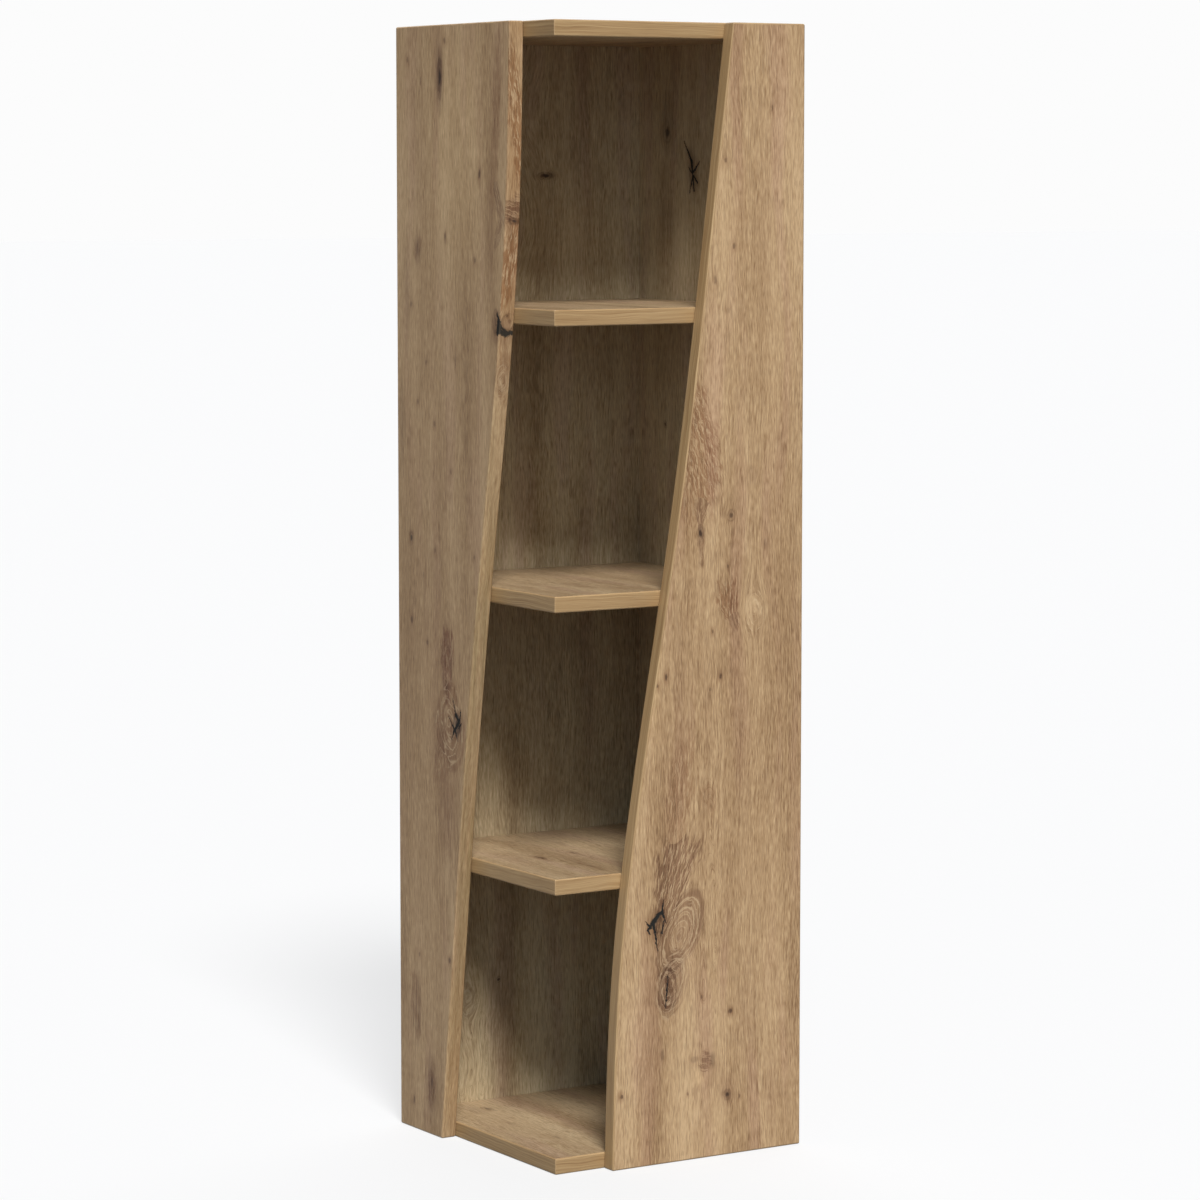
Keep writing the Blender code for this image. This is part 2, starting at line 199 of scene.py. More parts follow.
FURROW = srgb(112, 82, 54)
PORE = srgb(98, 68, 44)
KNOT_EDGE = (0.58, 0.48, 0.44, 1.0)
KNOT_RIM = (0.34, 0.27, 0.25, 1.0)
KNOT_BODY = (0.42, 0.36, 0.35, 1.0)
KNOT_CORE = srgb(62, 43, 32)
FLECK = srgb(80, 55, 40)
CRACK = srgb(26, 23, 18)
PALE = srgb(214, 186, 148)
# These tint the wood and leave its grain showing.
PINK_BROWN = (0.66, 0.58, 0.57, 1.0)
PURPLE = (0.42, 0.37, 0.40, 1.0)
HEART = (0.47, 0.38, 0.37, 1.0)
FLAME = (0.64, 0.53, 0.48, 1.0)
RED_BROWN = (0.60, 0.45, 0.43, 1.0)
ORANGE = (0.86, 0.74, 0.60, 1.0)
RUST = (0.66, 0.52, 0.42, 1.0)
DULL = (0.60, 0.63, 0.57, 1.0)
# the colour just below is painted light: it brightens the back walls where they lie in shade between the middle and
# upper shelves
PAINTED_WALL_LIGHT = (1.25, 1.28, 1.30, 1.0)
LIGHTER = (1.20, 1.23, 1.22, 1.0)


def knot(across, along, half_width, half_length, push=0.7, body=0.5, core=0.8, lines=1.5, glow=0.0, colour=KNOT_BODY):
    """A knot: how hard it pushes the grain aside, how strong its body and core
    are, how many rings it has, and how pale the lines between them are."""
    return (across, along, half_width, half_length, push, body, core, lines, glow, colour)


def brush(across, along, half_width, half_length, turn, fan, colour, amount, pale=0.35):
    """A patch of short strokes that leave the grain's direction by turn
    degrees, and spread from a point fan below its middle, or run side by side
    where fan is 0."""
    return (across, along, half_width, half_length, math.radians(turn), fan, colour, amount, pale)


def ellipse(g, at, across, along, half_width, half_length):
    """Distance from a feature's middle, 1 at its edge."""
    scale = (1 / half_width, 1 / half_length, 0.0)
    shift = (-across / half_width, -along / half_length, 0.0)
    return g.vec("LENGTH", g.vec("MULTIPLY_ADD", at, scale, shift))


def segment(g, at, x0, y0, x1, y1):
    """Distance to a line between two points, and the place along it."""
    dx, dy = x1 - x0, y1 - y0
    square = dx * dx + dy * dy
    away = g.vec("SUBTRACT", at, (x0, y0, 0.0))
    along = g.vec("DOT_PRODUCT", away, (dx / square, dy / square, 0.0))
    along = g.math("ADD", along, 0.0, clamp=True)
    nearest = g.vec("MULTIPLY", g.join(along, along), (dx, dy, 0.0))
    return g.vec("DISTANCE", away, nearest), along


def board_point(g, main, grain, shown, shift):
    """Where a point lies on its board, in millimetres across and along the
    grain. Each face and each edge has a stretch of the decor of its own; only
    the shown face, whose normal has the sign shown along main, keeps the
    board's own numbers. Also gives how far a point belongs to a face and not
    to an edge, and how rounded the surface is there."""
    third = ({"X", "Y", "Z"} - {main, grain}).pop()
    place = g.new("ShaderNodeTexCoord").outputs["Object"]
    place = dict(zip("XYZ", g.split(g.vec("MULTIPLY", Val(g, place), (1000.0, 1000.0, 1000.0)))))
    normal = Val(g, g.new("ShaderNodeNewGeometry").outputs["Normal"])
    turn = dict(zip("XYZ", g.split(normal)))
    size = {axis: g.math("ABSOLUTE", turn[axis]) for axis in "XYZ"}
    face = g.math("GREATER_THAN", size[main], 0.99)
    end = g.math("GREATER_THAN", size[grain], size[third]) * (1.0 - face)
    hidden = g.math("LESS_THAN", turn[main] * shown, 0.0)
    across = place[main] + face * (place[third] - place[main])
    along = place[grain] + end * (place[third] - place[grain])
    side = g.math("SIGN", turn[third])
    cap = g.math("SIGN", turn[grain])
    across = across + face * hidden * 3000.0
    across = across + (1.0 - face) * (end * (cap * 1000.0 + 8000.0) + (1.0 - end) * (side * 1000.0 + 5000.0))
    along = along + face * hidden * 2100.0
    if shift is not None:
        across, along = across + shift[0], along + shift[1]
    most = g.math("MAXIMUM", g.math("MAXIMUM", size["X"], size["Y"]), size["Z"])
    arris = g.ease(most, 0.985, 0.80)
    return g.join(across, along), face, hidden, end, arris


def oak(name, main, grain, shown, features, look, shift=None):
    """A board's material. look holds how strong each part of the figure is."""
    mat = bpy.data.materials.new(name)
    mat.use_nodes = True
    g = Graph(mat.node_tree)
    at, face, hidden, end, arris = board_point(g, main, grain, shown, shift)
    edge = 1.0 - face
    f = features

    # --- how the features bend the grain
    rings = [ellipse(g, at, *k[:4]) for k in f.knots]
    x, y, _ = g.split(at)
    bend = (g.noise(at, 0.0105, 0.0031, 0.0, seed=(3.7, 1.9)) - 0.5) * look["wander"]
    bend = bend + (g.noise(at, 0.055, 0.021, 1.0, seed=(13.1, 7.3)) - 0.5) * look["ripple"]
    for k, r in zip(f.knots, rings):
        near = g.ease(r, 2.6, 0.0, 0.0, k[4], "SMOOTHERSTEP")
        bend = bend - (x - k[0]) * near
    for a, l, hw, hl, slope in f.slants:
        near = g.ease(ellipse(g, at, a, l, hw, hl), 1.0, 0.0, 0.0, slope, "SMOOTHERSTEP")
        bend = bend + (y - l) * near
    if look["wild"]:
        # knots scattered where none are listed
        mine = g.vec("MULTIPLY_ADD", at, (1 / 150, 1 / 420, 0.0), (0.37, 0.11, 0.0))
        cell = g.new("ShaderNodeTexVoronoi", voronoi_dimensions="2D", feature="F1")
        g.put(mine, cell.inputs["Vector"])
        cell.inputs["Scale"].default_value = 1.0
        cell.inputs["Randomness"].default_value = 0.85
        away = g.vec("SUBTRACT", mine, Val(g, cell.outputs["Position"]))
        apart = g.new("ShaderNodeSeparateColor")
        g.put(Val(g, cell.outputs["Color"]), apart.inputs[0])
        chance, size = Val(g, apart.outputs[0]), Val(g, apart.outputs[1])
        size = size * 0.9 + 0.55
        wild_r = g.vec("LENGTH", g.vec("MULTIPLY", away, (150 / 9.0, 420 / 26.0, 0.0))) / size
        there = g.math("GREATER_THAN", chance, 0.45) * look["wild"]
        there = there * (hidden if look["wild_hidden_only"] else 1.0) * face
        away_x = g.split(away)[0] * 150.0
        bend = bend - away_x * g.ease(wild_r, 2.4, 0.0, 0.0, 0.75, "SMOOTHERSTEP") * there
    at1 = g.vec("ADD", at, g.join(bend, 0.0))

    # --- growth rings: streaks, with arches where the saw met them flat
    x1 = g.split(at1)[0]
    sway = g.noise(at, 0.0045, 0.00135, 1.0, seed=(21.0, 5.5)) - 0.5
    ring_at = x1 * 0.21 + sway * look["sway"]
    inside_any = 0.0
    for a, tip, hw, length, spread, lines in f.arches:
        inside = g.ease(ellipse(g, at, a, tip - length * 0.55, hw, length * 0.75), 1.0, 0.55)
        inside_any = g.math("MAXIMUM", inside_any, inside)
        off = (x - a) / spread
        own = (off * off + (y - tip) * 0.01) * lines * 10.0
        ring_at = ring_at + inside * (own - ring_at)
    arch_tone = None
    if f.arches:
        line = g.noise(g.join(ring_at * 0.9, y * 0.004), 1.0, 1.0, 1.0, 0.6, seed=(6.0, 2.0))
        arch_tone = (g.ease(g.math("ABSOLUTE", line - 0.5), 0.0, 0.05) - 1.0) * inside_any * 0.34
    wide = g.noise(at1, 0.027, 0.0019, 0.0, seed=(9.2, 4.4))
    middling = g.noise(at1, 0.10, 0.0060, 1.0, 0.55, seed=(33.0, 12.4))
    ring_vec = g.join(ring_at, y * 0.0060)
    ring = g.noise(ring_vec, 1.0, 1.0, 2.0, 0.60, seed=(2.1, 8.3))
    streak = g.noise(at1, 0.42, 0.027, 1.0, 0.6, seed=(5.0, 2.0))
    thin = g.noise(at1, 1.15, 0.085, 1.0, 0.7, seed=(1.0, 6.0))
    crowd = g.ease(g.noise(at1, 0.026, 0.0042, 1.0, seed=(51.0, 6.2)), 0.36, 0.66, 0.25, 1.0)
    furrow_n = g.noise(at1, 0.70, 0.032, 1.0, 0.6, seed=(7.0, 3.0))
    furrow = g.ease(furrow_n, 0.55, 0.66) * crowd
    bright = g.ease(furrow_n, 0.46, 0.32)
    dash = g.ease(g.noise(at1, 0.40, 0.055, 0.0, seed=(4.0, 9.0)), 0.735, 0.81)

    # --- colour of the plain wood
    tone = (ring - 0.5) * look["ring"] + (streak - 0.5) * look["streak"] + (thin - 0.5) * look["thin"]
    tone = tone + (wide - 0.5) * look["wide"] + (middling - 0.5) * look["middling"] + 0.5
    if arch_tone is not None:
        tone = tone + arch_tone
    if f.feathers:
        # plain lines of growth where the grain swirls
        zones = 0.0
        for a, l, hw, hl, much in f.feathers:
            zones = g.math("MAXIMUM", zones, g.ease(ellipse(g, at, a, l, hw, hl), 1.1, 0.5, 0.0, much))
        line = g.ease(g.noise(at1, 0.34, 0.010, 1.0, 0.6, seed=(71.0, 8.0)), 0.38, 0.62)
        tone = tone + (line - 0.5) * zones
    wood = g.ramp(tone, look["stops"])
    warm = g.ease(g.noise(at1, 0.032, 0.0034, 1.0, seed=(31.0, 14.0)), 0.48, 0.74)
    wood = g.mix(warm * look["hue"], wood, g.mix(1.0, wood, look["hue_colour"], "MULTIPLY"))
    wood = g.mix(furrow * look["furrow"], wood, FURROW)
    wood = g.mix(bright * look["bright"], wood, PALE)
    wood = g.mix(dash * look["dash"], wood, PORE)

    # --- listed features
    grainy = g.ease(ring, 0.34, 0.66, 1.15, 0.65, "LINEAR")
    for a, l, hw, hl, colour, amount in f.tints:
        near = g.ease(ellipse(g, at, a, l, hw, hl), 1.15, 0.15, 0.0, amount)
        wood = g.mix(near * grainy, wood, colour, "MULTIPLY")
    dark_sum = None
    crack_sum = None
    wobble = None
    if f.knots or f.cracks or f.flecks or f.brushes or f.swirls:
        shake = g.noise(at, 0.22, 0.075, 2.0, 0.6, seed=(17.0, 11.0)) - 0.5
        wobble = g.vec("ADD", at, g.join(shake * 5.0, shake * 3.0))
    if f.brushes:
        # each point takes the strokes of the patch that it lies deepest in
        deep = u = v = tint = full = much = None
        for a, l, hw, hl, turn, fan, *rest in f.brushes:
            away = g.vec("SUBTRACT", wobble, (a, l, 0.0))
            u1 = g.vec("DOT_PRODUCT", away, (math.cos(turn), math.sin(turn), 0.0))
            v1 = g.vec("DOT_PRODUCT", away, (-math.sin(turn), math.cos(turn), 0.0))
            if fan:
                u1 = u1 * g.math("DIVIDE", float(fan), g.math("MAXIMUM", v1 + fan, 2.0))
            near = g.math("SQRT", g.math("MULTIPLY_ADD", u1 * u1, hw ** -2, v1 * v1 * hl ** -2))
            u1, v1 = u1 + a * 0.37, v1 + l * 0.37
            if deep is None:
                deep, u, v, (tint, full, much) = near, u1, v1, rest
            else:
                nearer = g.math("LESS_THAN", near, deep)
                deep = g.math("MINIMUM", near, deep)
                u, v, full, much = (g.swap(nearer, *pair) for pair in ((u, u1), (v, v1), (full, rest[1]), (much, rest[2])))
                tint = g.mix(nearer, tint, rest[0])
        place = g.join(u, v)
        stroke = g.noise(place, 0.50, 0.050, 2.0, 0.65)
        blotch = g.noise(place, 0.11, 0.040, 1.0, 0.6) - 0.5
        near = g.ease(deep + blotch * 0.9 + (stroke - 0.5) * 0.9, 1.10, 0.55) * full
        wood = g.mix(near * g.ease(stroke, 0.62, 0.40, 0.45, 1.0), wood, tint, "MULTIPLY")
        wood = g.mix(near * g.ease(stroke, 0.53, 0.66) * much, wood, PALE)
    for a, l, hw, hl, lean, lines, colour, amount in f.swirls:
        # rings round a place, leaning over, with pale lines between them
        away = g.vec("SUBTRACT", wobble, (a, l, 0.0))
        off_x, off_y, _ = g.split(away)
        off_x = off_x - off_y * lean
        r = g.vec("LENGTH", g.join(off_x / hw, off_y / hl))
        growth = g.noise(g.join(r * lines, off_y * 0.016 + off_x * 0.024), 1.0, 1.0, 1.0, 0.6, seed=(a * 0.1, l * 0.1))
        stroke = g.noise(g.join(r * lines * 2.6, off_y * 0.05 + off_x * 0.06), 1.0, 1.0, 1.0, 0.6, seed=(l * 0.1, a * 0.1))
        near = g.ease(r + (growth - 0.5) * 0.5, 1.06, 0.80, 0.0, amount)
        wood = g.mix(near * g.ease(growth, 0.30, 0.64, 1.0, 0.55), wood, colour, "MULTIPLY")
        line = g.ease(g.math("ABSOLUTE", growth - 0.52), 0.040, 0.008)
        line = g.math("MAXIMUM", line, g.ease(stroke, 0.60, 0.72, 0.0, 0.5))
        wood = g.mix(near * line * 0.62, wood, PALE)
    if f.knots:
        # each point belongs to the knot that it lies deepest in
        deep = None
        for a, l, hw, hl, push, *rest in f.knots:
            r = ellipse(g, wobble, a, l, hw, hl)
            if deep is None:
                deep, (body, core, lines, glow, tint) = r, rest
            else:
                nearer = g.math("LESS_THAN", r, deep)
                deep = g.math("MINIMUM", r, deep)
                body, core, lines, glow = (g.swap(nearer, old, new) for old, new in zip((body, core, lines, glow), rest))
                tint = g.mix(nearer, tint, rest[4])
        growth = g.noise(g.join(deep * lines * 1.7, y * 0.018 + x * 0.030), 1.0, 1.0, 1.0, 0.6, seed=(3.0, 17.0))
        band = g.ease(growth, 0.36, 0.62)
        halo = g.ease(deep, 2.0, 0.8, 0.0, 0.55) * body
        wood = g.mix(halo * (band * 0.7 + 0.3), wood, KNOT_EDGE, "MULTIPLY")
        inner = g.ease(deep, 1.05, 0.80) * body
        wood = g.mix(inner * (band * 0.6 + 0.4), wood, tint, "MULTIPLY")
        rim = g.ease(g.math("ABSOLUTE", deep - 0.97), 0.20, 0.0, 0.0, 0.48) * body
        wood = g.mix(rim * grainy, wood, KNOT_RIM, "MULTIPLY")
        line = g.ease(g.math("ABSOLUTE", growth - 0.50), 0.045, 0.010) * glow
        wood = g.mix(line * g.ease(deep, 1.5, 0.9), wood, PALE)
        wood = g.mix(g.ease(deep, 0.60, 0.22) * core, wood, KNOT_CORE)
    if f.flecks:
        halo = None
        for a, l, hw, hl, dark in f.flecks:
            r = ellipse(g, wobble, a, l, hw, hl)
            here, round_it = g.ease(r, 1.0, 0.35, 0.0, dark), g.ease(r, 2.6, 0.6, 0.0, dark * 0.7)
            dark_sum = here if dark_sum is None else g.math("MAXIMUM", dark_sum, here)
            halo = round_it if halo is None else g.math("MAXIMUM", halo, round_it)
        wood = g.mix(halo, wood, KNOT_EDGE, "MULTIPLY")
        wood = g.mix(dark_sum, wood, FLECK)
    if f.cracks:
        nearest = None
        jag = g.noise(at, 0.45, 0.25, 2.0, 0.65, seed=(19.0, 23.0)) - 0.5
        jog = g.noise(at, 0.30, 0.40, 1.0, 0.6, seed=(29.0, 3.0)) - 0.5
        ragged = g.vec("ADD", at, g.join(jag * 4.0, jog * 3.0))
        for x0, y0, x1_, y1_, w0, w1 in f.cracks:
            d, along = segment(g, ragged, x0, y0, x1_, y1_)
            d = d / (along * (w1 - w0) + w0)
            nearest = d if nearest is None else g.math("MINIMUM", nearest, d)
        crack_sum = g.ease(nearest, 1.15, 0.55)
        wood = g.mix(g.ease(nearest, 5.0, 0.8, 0.0, 0.60), wood, KNOT_EDGE, "MULTIPLY")
        wood = g.mix(crack_sum, wood, CRACK)
    if look["inside"]:
        # painted light: the faces turned to the shelves are made paler and cooler, and the boards a little cooler all
        # over, to stand in for the light inside the compartments
        inside = face * {"shown": 1.0 - hidden, "hidden": hidden, "both": 1.0}[look["inside"]]
        wood = g.mix(inside, wood, (0.97, 1.06, 1.17, 1.0) if look["inside"] == "both" else (1.08, 1.28, 1.47, 1.0), "MULTIPLY")
    if look["wild"]:
        growth = g.noise(g.join(wild_r * 2.4, y * 0.018 + x * 0.030), 1.0, 1.0, 1.0, 0.6)
        band = g.ease(growth, 0.36, 0.62)
        wood = g.mix(g.ease(wild_r, 2.0, 0.6, 0.0, 0.55) * there * (band * 0.7 + 0.3), wood, KNOT_EDGE, "MULTIPLY")
        wood = g.mix(g.ease(wild_r, 0.95, 0.60, 0.0, 0.7) * there, wood, KNOT_BODY, "MULTIPLY")
        wood = g.mix(g.ease(wild_r, 0.40, 0.12, 0.0, 0.85) * there, wood, KNOT_CORE)

    # --- edges: banding in a warmer, quieter stretch of the decor
    band_tone = (g.noise(at1, 0.55, 0.004, 2.0, 0.6, seed=(41.0, 3.0)) - 0.5) * 1.1
    band_tone = band_tone + (g.noise(at1, 1.6, 0.02, 1.0, 0.5, seed=(43.0, 5.0)) - 0.5) * 0.5 + 0.5
    banding = g.ramp(band_tone, look["band_stops"])
    banding = g.mix(g.ease(furrow_n, 0.60, 0.80, 0.0, 0.18), banding, FURROW)
    if look["edge_features"]:
        banding = g.mix(look["edge_features"], banding, wood)
    colour = g.mix(edge, wood, banding)
    # lighter along the rounded arrises: partly rubbed wear, partly a painted highlight
    colour = g.mix(arris * look["arris"], colour, PALE)

    # --- finish
    dull = g.noise(at, 0.03, 0.012, 2.0, 0.6, seed=(61.0, 2.0))
    rough = furrow * 0.12 + dash * 0.12 + (dull - 0.5) * 0.14 + look["rough"]
    rough = rough - arris * 0.05
    height = (streak - 0.5) * 0.020 + (thin - 0.5) * 0.012 - furrow * 0.045 - dash * 0.040
    if crack_sum is not None:
        height = height - crack_sum * 0.25
        rough = rough + crack_sum * 0.3
    if dark_sum is not None:
        height = height - dark_sum * 0.05
    bump = g.new("ShaderNodeBump")
    bump.inputs["Strength"].default_value = 1.0
    bump.inputs["Distance"].default_value = 0.001
    g.put(height, bump.inputs["Height"])
    shader = g.new("ShaderNodeBsdfPrincipled")
    shader.inputs["IOR"].default_value = 1.46
    g.put(colour, shader.inputs["Base Color"])
    g.put(rough, shader.inputs["Roughness"])
    g.tree.links.new(bump.outputs[0], shader.inputs["Normal"])
    out = g.new("ShaderNodeOutputMaterial")
    g.tree.links.new(shader.outputs[0], out.inputs["Surface"])
    return mat


STOPS = [(0.02, srgb(134, 102, 70)), (0.33, srgb(163, 130, 93)), (0.56, srgb(179, 146, 107)), (0.92, srgb(201, 169, 128))]
FRONT_STOPS = [(0.02, srgb(135, 103, 72)), (0.33, srgb(165, 132, 95)), (0.56, srgb(181, 148, 110)), (0.92, srgb(203, 171, 131))]
BAND_STOPS = [(0.10, srgb(139, 108, 72)), (0.42, srgb(163, 131, 91)), (0.62, srgb(173, 142, 101)), (0.92, srgb(191, 160, 118))]
WARM_BAND_STOPS = [(0.10, srgb(116, 88, 58)), (0.42, srgb(141, 113, 79)), (0.62, srgb(152, 124, 90)), (0.92, srgb(170, 142, 106))]
LOOK = dict(wander=16.0, ripple=4.2, sway=7.0, ring=0.26, streak=0.60, thin=1.15, wide=0.66, middling=0.22, hue=0.5,
            hue_colour=(0.91, 0.83, 0.95, 1.0), furrow=0.38, bright=0.14, dash=0.20, rough=0.34, stops=STOPS,
            band_stops=BAND_STOPS, wild=0.8, wild_hidden_only=True, edge_features=0.0, inside=None, arris=0.14)


def look(**changes):
    found = dict(LOOK)
    found.update(changes)
    return found


# Across is Y on the left front panel and X on the right one; along is Z. The
# left panel's cut edge has its own stretch, 4000 further across.
LEFT_FRONT = Features(
    knots=[knot(70, 1258, 6, 25, push=0.8, body=0.75, core=0.95, lines=1.2),
           knot(141, 716, 5, 9, push=0.6, body=0.6, core=0.85, lines=1.2),
           knot(57, 578, 12, 44, push=0.8, body=0.30, core=0.0, lines=1.6, glow=0.15, colour=RED_BROWN),
           knot(35, 503, 9, 14, push=0.6, body=0.85, core=0.5, lines=1.0, colour=(0.36, 0.36, 0.39, 1.0)),
           knot(3838, 1094, 8, 4.5, push=0.6, body=0.75, core=0.95, lines=1.2),
           knot(3838, 979, 10, 9, push=0.6, body=0.55, core=0.0, lines=1.2, glow=0.10, colour=HEART), knot(-57, 978, 7, 15, push=0.5, body=0.55, core=0.0, lines=1.6),
           knot(3835, 911, 9, 19, push=0.8, body=0.22, core=0.0, lines=2.4, glow=0.3)],
    flecks=[(58, 1301, 3.4, 5, 0.5), (146, 1281, 3.2, 5, 0.45), (114, 1256, 2.6, 7, 0.35), (-21, 1147, 2.8, 8, 0.8),
            (124, 1060, 5, 11, 0.35), (58, 1073, 2.6, 10, 0.6), (-10, 1048, 3.6, 5, 0.5), (139, 993, 3.6, 6, 0.45),
            (104, 926, 2.8, 5, 0.45), (35, 931, 2.6, 12, 0.35), (124, 879, 2.8, 4.5, 0.5), (85, 855, 2.8, 5, 0.45),
            (47, 801, 2.8, 5, 0.4), (85, 705, 2.8, 5, 0.4), (-7, 703, 3, 4.5, 0.4), (112, 674, 2.8, 5, 0.35),
            (141, 618, 3.2, 6, 0.65), (104, 594, 3, 4.5, 0.5), (54, 219, 3.6, 4.5, 0.6), (35, 230, 3.2, 4, 0.6),
            (126, 215, 3, 4, 0.45), (141, 35, 3, 8, 0.6), (97, 64, 3, 9, 0.55), (3835, 986, 1.6, 2.4, 0.8)],
    tints=[(30, 1190, 90, 210, LIGHTER, 1.0), (70, 1262, 12, 52, PURPLE, 0.70), (163, 850, 12, 70, PURPLE, 0.35), (57, 578, 20, 56, PINK_BROWN, 0.45),
           (134, 150, 17, 62, PURPLE, 0.34), (97, 60, 17, 50, PURPLE, 0.50), (124, 1058, 13, 26, PURPLE, 0.40),
           (-45, 1090, 14, 130, PINK_BROWN, 0.5), (-60, 1230, 16, 100, PINK_BROWN, 0.45),
           (55, 420, 30, 95, PINK_BROWN, 0.50), (70, 500, 16, 44, PINK_BROWN, 0.40), (60, 830, 22, 110, PINK_BROWN, 0.32),
           (105, 640, 20, 100, PINK_BROWN, 0.30), (120, 1180, 22, 120, PINK_BROWN, 0.25), (150, 1010, 14, 90, PURPLE, 0.22),
           (3836, 1165, 14, 90, ORANGE, 0.55), (3836, 1030, 14, 60, RUST, 0.60), (3832, 1098, 12, 30, PINK_BROWN, 0.5),
           (3836, 925, 14, 45, PINK_BROWN, 0.5), (3836, 480, 60, 560, DULL, 0.85)],
    brushes=[brush(3836, 1215, 12, 125, 9, 0, RUST, 0.9, 0.45), brush(3836, 1109, 18, 12, 74, 0, HEART, 1.0, 0.25),
             brush(3834, 1045, 12, 62, -6, 0, RUST, 0.95, 0.50), brush(3835, 925, 10, 44, 4, 0, RUST, 0.5, 0.25),
             brush(-58, 1200, 10, 110, 4, 0, FLAME, 0.6, 0.1), brush(-63, 1118, 10, 34, -22, 0, HEART, 0.75, 0.25), brush(-64, 1080, 8, 22, 20, 0, HEART, 0.6, 0.2),
             brush(57, 576, 16, 50, 3, 0, RED_BROWN, 1.0, 0.25), brush(80, 450, 14, 30, 24, 34, FLAME, 0.6, 0.30),
             brush(66, 462, 20, 50, 10, 0, FLAME, 0.7, 0.25), brush(60, 395, 24, 60, 0, 0, FLAME, 0.45, 0.20),
             brush(134, 150, 12, 46, -8, 0, FLAME, 0.7, 0.2), brush(97, 58, 11, 34, 3, 0, FLAME, 0.85, 0.15),
             brush(124, 1058, 9, 20, 12, 24, FLAME, 0.5, 0.15)],
    swirls=[(52, 502, 36, 56, 0.10, 3.6, FLAME, 0.75)],
    feathers=[(134, 150, 16, 56, 0.4), (60, 330, 40, 120, 0.25)],
    cracks=[(44.4, 533, 37.5, 515, 0.4, 1.6), (37.5, 515, 30, 507, 2.2, 3.2), (30, 507, 40, 496, 3.2, 2.2),
            (41, 496, 47, 484, 1.8, 0.4), (54, 511, 41, 497, 0.5, 1.6), (25.5, 522, 28, 509, 0.4, 1.8),
            (39, 497, 33, 484, 1.6, 0.4), (24, 506, 30, 500, 0.8, 1.6),
            (-60, 989, -63, 982, 0.8, 2.6), (-63, 982, -63, 967, 3.0, 5.5), (3825, 984, 3827, 969, 0.8, 3.2),
            (3826, 968, 3834, 965, 3.4, 4.2), (3834, 965, 3847, 966.5, 4.2, 2.6),
            (3829, 972, 3837, 966, 1.4, 2.2)],
)
